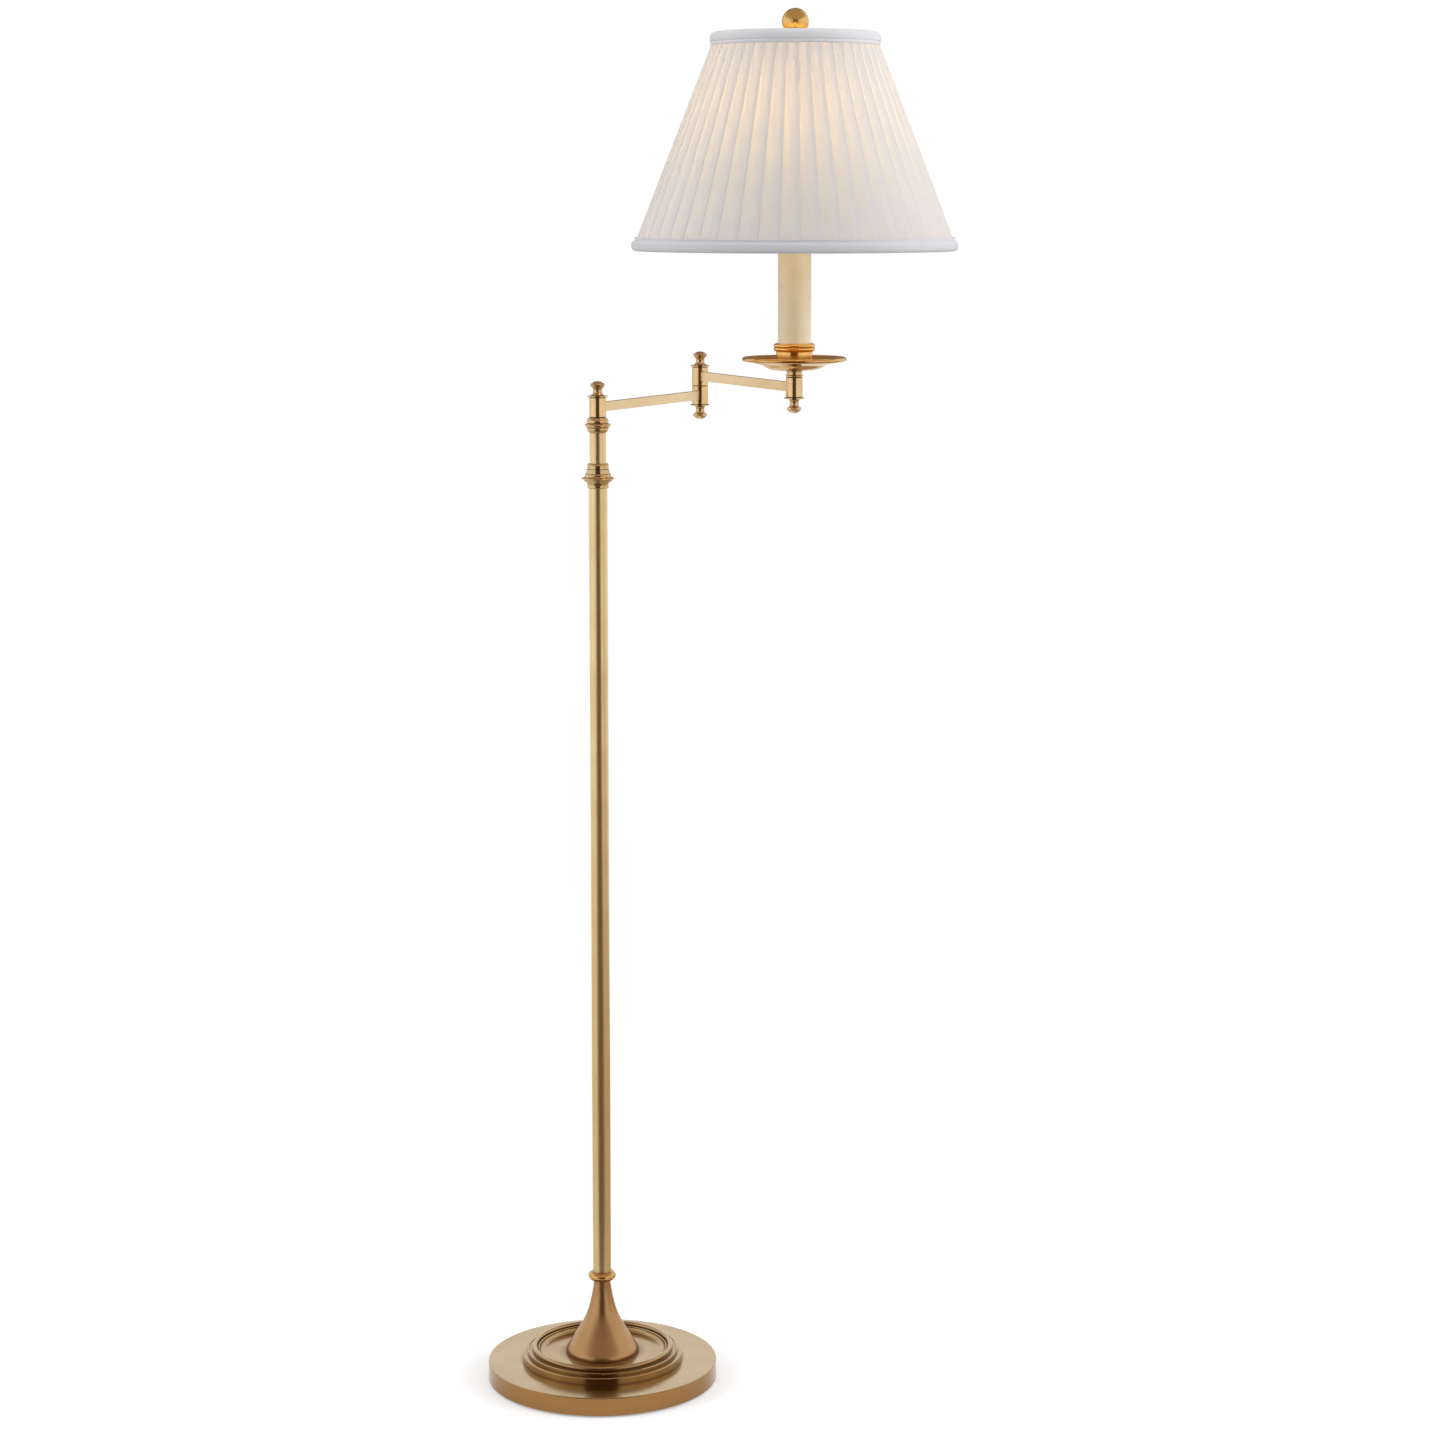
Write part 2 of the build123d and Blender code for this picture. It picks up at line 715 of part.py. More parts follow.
def switch_knob():
    start = socket_body_radius - knob_socket
    knob_start = socket_cap_radius + knob_reach
    spindle = knob_rod(knob_spindle_radius, start, knob_start - start)
    grip = knob_rod(knob_radius, knob_start, knob_length)
    middle = Pos(head_at[0], head_at[1] - knob_start - knob_length / 2, knob_level)
    return spindle + (grip & middle * Box(knob_grip, knob_length, 2 * knob_radius))


# Harp

def on_head(shape, level):
    return Pos(head_at[0], head_at[1], level) * shape


def harp_saddle():
    length = 2 * (harp_spread + harp_sleeve)
    strip = Pos(0, 0, saddle_thickness / 2) * Box(length, saddle_width, saddle_thickness)
    strip -= Cylinder(post_hole, 4 * saddle_thickness)
    for foot in (-harp_spread, harp_spread):
        place = Pos(foot, 0, saddle_thickness + harp_sleeve_length / 2)
        strip += place * Cylinder(harp_post, harp_sleeve_length)
    return on_head(strip, saddle_foot)


def harp():
    bow_top = harp_height - harp_seat_thickness - harp_wire
    side = [(harp_spread, harp_sleeve_length), (harp_spread, 2 * harp_sleeve_length),
            (harp_waist, harp_waist_foot), (harp_waist, harp_waist_top), (harp_seat, bow_top)]
    points = [(-x, 0, z) for x, z in side] + [(x, 0, z) for x, z in reversed(side)]
    path = FilletPolyline(*points, radius=harp_bend)
    loop = sweep(Plane(path @ 0, z_dir=path % 0) * Circle(harp_wire), path)
    for foot in (-harp_spread, harp_spread):
        place = Pos(foot, 0, harp_sleeve_length / 2)
        loop += place * (Cylinder(harp_sleeve, harp_sleeve_length)
                         - Cylinder(harp_post + fit_gap, harp_sleeve_length))
        loop += Pos(foot, 0, harp_sleeve_length + harp_wire / 2) * Cylinder(harp_sleeve, harp_wire)
    loop += Pos(0, 0, (bow_top + harp_height) / 2) * Cylinder(harp_seat, harp_height - bow_top)
    stud = Cylinder(harp_stud_radius, harp_stud_length)
    loop += Pos(0, 0, harp_height + harp_stud_length / 2) * stud
    return on_head(loop, socket_foot)


# Shade

def cloth_radius(height):
    """Outside of the pleats at a height over the shade's lower edge."""
    return shade_foot_radius - shade_slope * height


def shade_lining():
    foot, top = cloth_radius(cloth_foot), cloth_radius(cloth_top)
    return turned((foot - lining_inside, cloth_foot), (foot - lining_outside, cloth_foot),
                  (top - lining_outside, cloth_top), (top - lining_inside, cloth_top),
                  at=head_at, level=shade_foot)


def pleat_loop(height):
    """The pleats' outline at a height: each pleat rises to a fold and drops behind it."""
    outer = cloth_radius(height)
    inner = outer - pleat_depth
    pitch = 2 * pi / pleat_count
    points = []
    for pleat in range(pleat_count):
        fold = pleat * pitch
        tuck = fold + pleat_step * pitch
        points.append((outer * cos(fold), outer * sin(fold)))
        points.append((inner * cos(tuck), inner * sin(tuck)))
    return Pos(0, 0, height) * make_face(Polyline(*points, close=True))


def shade_pleats():
    cover = loft([pleat_loop(cloth_foot), pleat_loop(cloth_top)], ruled=True)
    core = turned((0, cloth_foot), (cloth_radius(cloth_foot) - pleat_inside, cloth_foot),
                  (cloth_radius(cloth_top) - pleat_inside, cloth_top), (0, cloth_top))
    return on_head(cover - core, shade_foot)


def shade_bottom_trim():
    band = cloth_radius(0) + hem_bulge
    inside = band - hem_depth
    top = hem_band_height + hem_lip_height
    lip = cloth_radius(top) + hem_lip_bulge
    beside_cloth = cloth_radius(cloth_foot) + cloth_gap
    return turned((inside, 0), (band - hem_round, 0), (band, hem_round, quarter_round),
                  (band, hem_band_height - hem_round), (band - hem_round, hem_band_height, quarter_round),
                  (lip, hem_band_height), (lip, top - lip_round), (lip - lip_round, top, quarter_round),
                  (cloth_radius(top) + cloth_gap, top), (beside_cloth, cloth_foot),
                  (beside_cloth, hem_web), (inside, hem_web), at=head_at, level=shade_foot)


def shade_top_trim():
    foot = shade_height - crown_height
    web = shade_height - crown_web
    band = cloth_radius(foot) + crown_bulge
    lip = band - crown_lip_inset
    lip_top = foot + crown_lip_height
    inside = band - crown_depth
    beside_cloth = cloth_radius(cloth_top) + cloth_gap
    return turned((cloth_radius(foot) + cloth_gap, foot), (lip, foot), (lip, lip_top), (band, lip_top),
                  (band, shade_height - crown_round),
                  (band - crown_round, shade_height, quarter_round), (inside, shade_height),
                  (inside, web), (beside_cloth, web), (beside_cloth, cloth_top),
                  at=head_at, level=shade_foot)


def ring_radius(height):
    """Middle of a frame ring whose upper side lies against the lining at a height."""
    return cloth_radius(height) - lining_inside - cloth_gap - ring_wire


def shade_bottom_ring():
    level = cloth_foot + ring_wire
    return on_head(Torus(ring_radius(level + ring_wire), ring_wire), shade_foot + level)


def shade_spider():
    ring_level = shade_foot + cloth_top - ring_wire
    radius = ring_radius(cloth_top)
    spider = on_head(Torus(radius, ring_wire), ring_level)
    spider += rod(hub_radius, hub_level, hub_level + hub_thickness, head_at)
    start = Vector(hub_radius - ring_wire, 0, hub_level + ring_wire)
    end = Vector(radius, 0, ring_level)
    arm = extrude(Plane(start, z_dir=end - start) * Circle(ring_wire), (end - start).length)
    for number in range(spider_arms):
        spider += on_head(Rot(0, 0, spider_heading + 360 * number / spider_arms) * arm, 0)
    return spider - rod(harp_stud_radius + fit_gap, hub_level, hub_level + hub_thickness, head_at)


def shade_finial():
    neck_top = (ball_neck, ball_rise - sqrt(ball_radius ** 2 - ball_neck ** 2))
    tip = (0, ball_rise + ball_radius)
    hole = harp_stud_radius + thread_gap
    return turned((hole, hub_thickness), (ball_neck, hub_thickness), neck_top,
                  (*tip, bow(ball_radius, neck_top, tip)), (0, harp_stud_length),
                  (hole, harp_stud_length), at=head_at, level=hub_level)


elbow_holes = [(first_heading + back, first_arm_level), (second_heading, second_arm_level)]
head_holes = [(second_heading + back, second_arm_level)]
pieces = {
    "base_felt": base_felt(),
    "base_weight": base_weight(),
    "base_cover": base_cover(),
    "base_washer": base_washer(),
    "base_nut": base_nut(),
    "cord_bushing": cord_bushing(),
    "dish_ring": dish_ring(),
    "trumpet_stem": trumpet_stem(),
    "neck_bead": neck_bead(),
    "pole_tube": pole_tube(),
    "pole_pipe": pole_pipe(),
    "pole_wire": pole_wire(),
    "pole_collar": pole_collar(),
    "upper_tube": upper_tube(),
    "pivot_collar": pivot_collar(),
    "pole_post": post(pipe_top, second_barrel_foot, pole_at, [(first_heading, first_arm_level)]),
    "pole_washers": washers([pivot_top, first_barrel_top], pole_at),
    "pole_finial": finial(second_barrel_foot, pole_at),
    "first_arm_bar": arm_bar(pole_at, first_heading, first_arm_level),
    "pole_barrel": barrel(first_barrel_foot, pole_at, bush_radius, first_heading),
    "pole_bush": bush(first_barrel_foot, pole_at, first_heading),
    "lower_elbow_barrel": barrel(first_barrel_foot, elbow_at, post_hole, first_heading + back),
    "elbow_post": post(first_barrel_foot, stem_foot, elbow_at, elbow_holes),
    "elbow_washers": washers([first_barrel_top, second_barrel_top], elbow_at),
    "elbow_top_finial": finial(stem_foot, elbow_at),
    "elbow_bottom_finial": finial(first_barrel_foot, elbow_at, upright=False),
    "first_arm_wire": arm_wire(pole_at, first_heading, first_arm_level),
    "second_arm_bar": arm_bar(elbow_at, second_heading, second_arm_level),
    "upper_elbow_barrel": barrel(second_barrel_foot, elbow_at, bush_radius, second_heading),
    "elbow_bush": bush(second_barrel_foot, elbow_at, second_heading),
    "head_barrel": barrel(second_barrel_foot, head_at, bush_radius, second_heading + back),
    "head_bush": bush(second_barrel_foot, head_at, second_heading + back),
    "second_arm_wire": arm_wire(elbow_at, second_heading, second_arm_level),
    "head_pipe": post(head_foot, socket_floor, head_at, head_holes),
    "head_wire": head_wire(),
    "head_washers": washers([head_foot, second_barrel_top], head_at),
    "head_finial": finial(head_foot, head_at, upright=False),
    "stem_collar": stem_collar(),
    "drip_pan": drip_pan(),
    "candle_cup": candle_cup(),
    "candle_sleeve": candle_sleeve(),
    "candle_cap": candle_cap(),
    "harp_saddle": harp_saddle(),
    "socket_cap": socket_cap(),
    "socket_shell": socket_wall(socket_shell_radius, socket_shell_wall),
    "socket_liner": socket_wall(liner_radius, liner_wall),
    "socket_body": socket_body(),
    "screw_shell": screw_shell(),
    "bulb_base": bulb_base(),
    "bulb_glass": bulb_glass(),
    "harp": harp(),
    "shade_spider": shade_spider(),
    "shade_bottom_ring": shade_bottom_ring(),
    "shade_lining": shade_lining(),
    "shade_pleats": shade_pleats(),
    "shade_top_trim": shade_top_trim(),
    "shade_bottom_trim": shade_bottom_trim(),
    "shade_finial": shade_finial(),
    "switch_knob": switch_knob(),
}

os.makedirs("parts", exist_ok=True)
for name, shape in pieces.items():
    export_step(shape, f"parts/{name}.step")
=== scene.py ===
import math
import random

import bmesh
import bpy
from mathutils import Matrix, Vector, noise


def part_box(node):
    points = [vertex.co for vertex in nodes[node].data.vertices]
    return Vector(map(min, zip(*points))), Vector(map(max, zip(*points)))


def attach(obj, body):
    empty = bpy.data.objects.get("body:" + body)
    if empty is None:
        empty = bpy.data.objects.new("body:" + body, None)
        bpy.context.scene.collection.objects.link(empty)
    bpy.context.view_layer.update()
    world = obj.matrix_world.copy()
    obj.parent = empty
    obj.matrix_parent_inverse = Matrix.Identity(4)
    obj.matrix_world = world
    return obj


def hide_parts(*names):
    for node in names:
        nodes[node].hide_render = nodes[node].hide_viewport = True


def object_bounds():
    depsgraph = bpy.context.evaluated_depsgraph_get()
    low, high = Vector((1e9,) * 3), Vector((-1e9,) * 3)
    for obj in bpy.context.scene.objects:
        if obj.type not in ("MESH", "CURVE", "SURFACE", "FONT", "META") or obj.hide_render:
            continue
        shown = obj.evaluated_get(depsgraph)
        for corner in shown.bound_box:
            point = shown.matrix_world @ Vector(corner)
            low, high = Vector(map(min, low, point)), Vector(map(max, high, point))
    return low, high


# Swing arm floor lamp in antique brass with a pleated cloth shade, lit. Metres, +Z up.
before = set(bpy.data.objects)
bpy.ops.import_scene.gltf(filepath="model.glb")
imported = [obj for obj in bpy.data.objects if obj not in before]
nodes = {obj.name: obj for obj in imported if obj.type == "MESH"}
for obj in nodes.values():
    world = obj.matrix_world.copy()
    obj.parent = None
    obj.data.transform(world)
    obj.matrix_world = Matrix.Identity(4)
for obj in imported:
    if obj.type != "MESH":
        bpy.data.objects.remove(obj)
cadBox = [list(corner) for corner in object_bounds()]
scene = bpy.context.scene
scene.view_settings.view_transform = "Standard"


# Places taken from the frame
def middleOf(node):
    low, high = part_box(node)
    return (low + high) / 2


def radiusNear(node, centre, height, within=0.0006):
    reach = [math.hypot(v.co.x - centre.x, v.co.y - centre.y) for v in nodes[node].data.vertices
             if abs(v.co.z - height) < within]
    return max(reach)


poleAxis = middleOf("pole_tube")
elbowAxis = middleOf("lower_elbow_barrel")
headAxis = middleOf("candle_sleeve")
bulbMiddle = middleOf("bulb_glass")


# Short hands for shader nodes
def addNode(tree, kind, values=None, **settings):
    node = tree.nodes.new("ShaderNode" + kind)
    for key, value in settings.items():
        setattr(node, key, value)
    for socket, value in (values or {}).items():
        if isinstance(value, bpy.types.NodeSocket):
            tree.links.new(value, node.inputs[socket])
        else:
            node.inputs[socket].default_value = value
    return node


def sums(tree, operation, a, b=0.0):
    return addNode(tree, "Math", {0: a, 1: b}, operation=operation).outputs[0]


def cloud(tree, vector, scale, detail=2.0):
    values = {"Vector": vector, "Scale": scale, "Detail": detail}
    return addNode(tree, "TexNoise", values).outputs["Fac"]


def spread(tree, value, low, high, toLow=0.0, toHigh=1.0):
    ends = {"From Min": low, "From Max": high, "To Min": toLow, "To Max": toHigh}
    return addNode(tree, "MapRange", {"Value": value, **ends}).outputs["Result"]


def mixed(tree, share, a, b):
    return addNode(tree, "Mix", {0: share, 6: a, 7: b}, data_type="RGBA").outputs[2]


def weighed(tree, a, b, share):
    # a by its share and b by the rest
    return sums(tree, "ADD", sums(tree, "MULTIPLY", a, share), sums(tree, "MULTIPLY", b, 1 - share))


def bumped(tree, shader, height, strength, depth):
    bump = addNode(tree, "Bump", {"Strength": strength, "Distance": depth, "Height": height}).outputs[0]
    tree.links.new(bump, shader.inputs["Normal"])
    return bump


def setSockets(shader, values):
    for name, value in values.items():
        shader.inputs[name].default_value = value


def showSurface(tree, node):
    tree.links.new(node.outputs[0], tree.nodes["Material Output"].inputs["Surface"])


def newMaterial(name):
    mat = bpy.data.materials.new(name)
    mat.use_nodes = True
    return mat, mat.node_tree, mat.node_tree.nodes["Principled BSDF"]


def rgba(colour):
    return (*colour, 1.0)


plainWhite = (1.0, 1.0, 1.0, 1.0)
midTones = (0.3, 0.7)     # where most of a noise lies
allTones = (0.1, 0.9)


# Antique brass, one finish for each way that a piece was worked, with painted light in some: one is a
# darker copy of the polished finish (painted shade), the cup's is painted more orange (painted lamp
# light), and some paint shade on upright faces, round the trumpet's foot and in grooves (with patina),
# and highlight on edges (with wear)
brassWays = {
    "tube": {"bright": (0.83, 0.635, 0.345), "deep": (0.72, 0.52, 0.262), "rough": (0.28, 0.34),
             "lines": 0.02, "edges": 0.0, "sides": 0.0, "hollows": 0.005},
    "polished": {"bright": (0.80, 0.57, 0.30), "deep": (0.68, 0.455, 0.22), "rough": (0.13, 0.19),
                 "lines": 0.02, "edges": 0.35, "sides": 0.0, "hollows": 0.003},
    # a darker copy of the polished finish: painted shade for the dimmer reflections on the fittings
    "polishedShaded": {"bright": (0.665, 0.47, 0.255), "deep": (0.565, 0.375, 0.185), "rough": (0.13, 0.19),
               "lines": 0.02, "edges": 0.35, "sides": 0.0, "hollows": 0.003},
    "pan": {"bright": (0.73, 0.445, 0.165), "deep": (0.57, 0.33, 0.11), "rough": (0.14, 0.20),
            "lines": 0.02, "edges": 0.55, "sides": 0.0, "hollows": 0.003},
    # partly painted lamp light: the cup is painted more orange than the other brass, for the lamp's
    # warm light on it
    "cup": {"bright": (0.94, 0.565, 0.19), "deep": (0.82, 0.455, 0.13), "rough": (0.15, 0.21),
            "lines": 0.02, "edges": 0.35, "sides": 0.0, "hollows": 0.0015},
    "brushed": {"bright": (0.82, 0.63, 0.38), "deep": (0.74, 0.54, 0.305), "rough": (0.28, 0.36),
                "lines": 0.06, "edges": 0.0, "sides": 0.0, "hollows": 0.005},
    "turned": {"bright": (0.56, 0.42, 0.23), "deep": (0.47, 0.33, 0.17), "rough": (0.15, 0.21),
               "lines": 0.04, "edges": 0.35, "sides": 0.92, "hollows": 0.005},
    # its foot entry paints shade round the trumpet's foot
    "dished": {"bright": (0.53, 0.38, 0.20), "deep": (0.43, 0.29, 0.14), "rough": (0.13, 0.19),
               "lines": 0.03, "edges": 0.35, "sides": 0.6, "hollows": 0.006, "foot": (0.0385, 0.050)},
    "trumpet": {"bright": (0.51, 0.305, 0.135), "deep": (0.41, 0.225, 0.095), "rough": (0.27, 0.34),
                "lines": 0.05, "edges": 0.0, "sides": 0.0, "hollows": 0.004},
    "gilded": {"bright": (0.82, 0.55, 0.19), "deep": (0.70, 0.43, 0.13), "rough": (0.22, 0.30),
               "lines": 0.04, "edges": 0.0, "sides": 0.0, "hollows": 0.005},
}
brassAge = {
    # dark brown for patina and painted shade in grooves and between parts, and painted shade round the
    # trumpet's foot
    "patinaAndShade": (0.085, 0.035, 0.012),
    # painted shade on upright faces
    "side": (0.30, 0.146, 0.043),
    # paler worn edges, with painted highlight
    "wornAndHighlight": (0.80, 0.62, 0.36),
    "edgeReach": 0.0009,
    "edgeWearAndHighlightFade": (0.2, 0.7),
    "grooveShare": 0.9,
    "grooveFade": (0.2, 0.85),
    "grooveDull": 0.2,       # added roughness in a groove
    "sideShadeFade": (0.25, 0.8),
    "footShadeShare": 0.7,
    "rays": 12,              # for the grooves and edges
    "cloudScale": 22.0,
    "cloudShare": 0.75,      # the tool's lines take the rest
    "lineScale": 420.0,
    "lineDepth": 0.0001,
    "lineTurn": 0.003,       # how far the angle shifts the lines of a turned piece
    "lacquer": 0.10,
    "lacquerRough": 0.12,
}


def lathePath(tree, place, axis):
    # rings round an upright axis: radius, a little of the angle, height
    middle = (axis.x, axis.y, 0.0)
    off = addNode(tree, "VectorMath", {0: place, 1: middle}, operation="SUBTRACT").outputs[0]
    x, y, z = addNode(tree, "SeparateXYZ", {0: off}).outputs
    squares = sums(tree, "ADD", sums(tree, "MULTIPLY", x, x), sums(tree, "MULTIPLY", y, y))
    radius = sums(tree, "SQRT", squares)
    angle = sums(tree, "MULTIPLY", sums(tree, "ARCTAN2", y, x), brassAge["lineTurn"])
    return addNode(tree, "CombineXYZ", {0: radius, 1: angle, 2: z}).outputs[0]


def alongPath(tree, place, heading, stretch):
    # lines along a bar, or up a tube when the stretch is in Z
    turning = {"Vector": place, "Rotation": (0.0, 0.0, heading)}
    turned = addNode(tree, "Mapping", turning, vector_type="TEXTURE").outputs[0]
    return addNode(tree, "VectorMath", {0: turned, 1: stretch}, operation="MULTIPLY").outputs[0]


def brass(name, way, axis=None, heading=0.0, stretch=None):
    look = brassWays[way]
    mat, tree, shader = newMaterial(name)
    place = addNode(tree, "TexCoord").outputs["Object"]
    path = alongPath(tree, place, heading, stretch) if stretch else lathePath(tree, place, axis)
    tone = spread(tree, cloud(tree, place, brassAge["cloudScale"], 3.0), *midTones)
    lines = cloud(tree, path, brassAge["lineScale"], 2.0)
    blend = weighed(tree, tone, lines, brassAge["cloudShare"])
    colour = mixed(tree, blend, rgba(look["deep"]), rgba(look["bright"]))
    if look["sides"]:
        # painted shade: upright faces are painted darker than the tops, standing in for the dim floor
        # that they mirror
        facing = addNode(tree, "NewGeometry").outputs["Normal"]
        up = addNode(tree, "SeparateXYZ", {0: facing}).outputs[2]
        side = spread(tree, sums(tree, "ABSOLUTE", up), *brassAge["sideShadeFade"], look["sides"], 0.0)
        colour = mixed(tree, side, colour, rgba(brassAge["side"]))
    if "foot" in look:
        # painted shade: browner close round the foot that stands in it, standing in for its shadow and
        # its reflection in the dish
        out = addNode(tree, "SeparateXYZ", {0: path}).outputs[0]
        foot = spread(tree, out, *look["foot"], brassAge["footShadeShare"], 0.0)
        colour = mixed(tree, foot, colour, rgba(brassAge["patinaAndShade"]))
    rays = brassAge["rays"]
    # patina with painted shade: darker brown in grooves and between parts, where shade falls
    inner = addNode(tree, "AmbientOcclusion", {"Distance": look["hollows"]}, samples=rays)
    groove = spread(tree, inner.outputs["AO"], *brassAge["grooveFade"], brassAge["grooveShare"], 0.0)
    colour = mixed(tree, groove, colour, rgba(brassAge["patinaAndShade"]))
    if look["edges"]:
        # edge wear with painted highlight: paler on sharp edges
        outer = addNode(tree, "AmbientOcclusion", {"Distance": brassAge["edgeReach"]}, samples=rays,
                        inside=True, only_local=True)
        edge = spread(tree, outer.outputs["AO"], *brassAge["edgeWearAndHighlightFade"], look["edges"], 0.0)
        colour = mixed(tree, edge, colour, rgba(brassAge["wornAndHighlight"]))
    tree.links.new(colour, shader.inputs["Base Color"])
    low, high = look["rough"]
    rough = spread(tree, blend, *allTones, high, low)
    rough = sums(tree, "ADD", rough, sums(tree, "MULTIPLY", groove, brassAge["grooveDull"]))
    tree.links.new(rough, shader.inputs["Roughness"])
    bumped(tree, shader, lines, look["lines"], brassAge["lineDepth"])
    setSockets(shader, {"Metallic": 1.0, "Coat Weight": brassAge["lacquer"],
                        "Coat Roughness": brassAge["lacquerRough"]})
    return mat


# Plain hard finishes: speckled colour, uneven gloss and a fine grain
hardLooks = {
    "steel": {"colours": ((0.42, 0.42, 0.43), (0.56, 0.56, 0.57)), "metal": 1.0,
              "rough": (0.28, 0.42), "grain": 900.0},
    "castIron": {"colours": ((0.035, 0.033, 0.032), (0.07, 0.066, 0.062)), "metal": 0.7,
                 "rough": (0.55, 0.75), "grain": 500.0},
    "bronzeBush": {"colours": ((0.38, 0.24, 0.10), (0.50, 0.33, 0.15)), "metal": 1.0,
                   "rough": (0.32, 0.45), "grain": 900.0},
    "nylonWasher": {"colours": ((0.045, 0.030, 0.018), (0.075, 0.052, 0.032)), "metal": 0.0,
                    "rough": (0.38, 0.50), "grain": 700.0},
    "wireCover": {"colours": ((0.030, 0.022, 0.016), (0.055, 0.042, 0.030)), "metal": 0.0,
                  "rough": (0.42, 0.55), "grain": 700.0},
    "bushingPlastic": {"colours": ((0.018, 0.016, 0.015), (0.032, 0.030, 0.028)), "metal": 0.0,
                       "rough": (0.36, 0.48), "grain": 800.0},
    "phenolicBrown": {"colours": ((0.045, 0.022, 0.012), (0.075, 0.038, 0.020)), "metal": 0.0,
                      "rough": (0.30, 0.42), "grain": 700.0},
    "linerCard": {"colours": ((0.42, 0.32, 0.20), (0.55, 0.43, 0.28)), "metal": 0.0,
                  "rough": (0.75, 0.88), "grain": 450.0},
    "frameWire": {"colours": ((0.66, 0.65, 0.62), (0.78, 0.77, 0.74)), "metal": 0.0,
                  "rough": (0.35, 0.48), "grain": 800.0},
    "ivorySleeve": {"colours": ((0.80, 0.70, 0.485), (0.86, 0.78, 0.58)), "metal": 0.0,
                    "rough": (0.34, 0.46), "grain": 240.0},
}
hardWear = {
    "cloudScale": 60.0,
    "cloudFade": (0.35, 0.65),
    "cloudShare": 0.6,       # the grain takes the rest
    "grainBump": 0.12,
    "grainDepth": 0.0001,
}


def hardFinish(name):
    look = hardLooks[name]
    mat, tree, shader = newMaterial(name)
    place = addNode(tree, "TexCoord").outputs["Object"]
    tone = spread(tree, cloud(tree, place, hardWear["cloudScale"], 3.0), *hardWear["cloudFade"])
    grain = cloud(tree, place, look["grain"], 2.0)
    blend = weighed(tree, tone, grain, hardWear["cloudShare"])
    dark, pale = look["colours"]
    tree.links.new(mixed(tree, blend, rgba(dark), rgba(pale)), shader.inputs["Base Color"])
    low, high = look["rough"]
    tree.links.new(spread(tree, blend, *allTones, high, low), shader.inputs["Roughness"])
    bumped(tree, shader, grain, hardWear["grainBump"], hardWear["grainDepth"])
    setSockets(shader, {"Metallic": look["metal"]})
    return mat


# Frosted bulb, lit
bulbLook = {
    "glow": (1.0, 0.74, 0.42),
    "strength": 3.0,
    "glass": (0.92, 0.88, 0.80),
    "rough": 0.35,
    "frost": (0.7, 0.66, 0.58),
    "frostScale": 1400.0,
    "frostShare": 0.12,
    "frostBump": 0.1,
    "frostDepth": 0.0001,
}


def bulbFinish():
    mat, tree, shader = newMaterial("bulbGlass")
    place = addNode(tree, "TexCoord").outputs["Object"]
    frost = cloud(tree, place, bulbLook["frostScale"], 2.0)
    share = spread(tree, frost, *midTones, 0.0, bulbLook["frostShare"])
    glass = mixed(tree, share, rgba(bulbLook["glass"]), rgba(bulbLook["frost"]))
    tree.links.new(glass, shader.inputs["Base Color"])
    bumped(tree, shader, frost, bulbLook["frostBump"], bulbLook["frostDepth"])
    setSockets(shader, {"Roughness": bulbLook["rough"], "Emission Color": rgba(bulbLook["glow"]),
                        "Emission Strength": bulbLook["strength"]})
    return mat


# Woven cloth that lets the lamp's light through
clothLooks = {
    "pleatedCloth": {"colour": (0.795, 0.79, 0.81), "through": (0.93, 0.90, 0.86),
                     "share": 0.28, "clear": 0.0, "threads": 1300.0},
    "layeredCloth": {"colour": (0.86, 0.86, 0.90), "through": (0.93, 0.90, 0.86),
                     "share": 0.28, "clear": 0.0, "threads": 1300.0},
    "tuckedCloth": {"colour": (0.84, 0.84, 0.86), "through": (0.93, 0.90, 0.86),
                    "share": 0.5, "clear": 0.54, "threads": 1300.0},
    "trimCloth": {"colour": (0.84, 0.835, 0.87), "through": (0.90, 0.84, 0.76),
                  "share": 0.06, "clear": 0.0, "threads": 1000.0},
    # painted light: the same trim cloth painted paler for the top trim, standing in for the light on it
    "litTrimCloth": {"colour": (0.94, 0.935, 0.965), "through": (0.90, 0.84, 0.76),
                   "share": 0.06, "clear": 0.0, "threads": 1000.0},
    "liningCloth": {"colour": (0.83, 0.815, 0.79), "through": (0.92, 0.89, 0.84),
                    "share": 0.35, "clear": 0.0, "threads": 1000.0},
}
clothWeave = {
    "stretch": 0.05,         # threads are 20 times as long as wide
    "shade": 0.965,          # colour between the threads
    "shadeThrough": 0.95,    # the same for the light that comes through
    "bump": 0.18,
    "depth": 0.00012,
    "rough": 0.85,
    "specular": 0.2,
    "sheen": 0.12,
    "sheenRough": 0.5,
}


def shaded(colour, share):
    return rgba([part * share for part in colour])


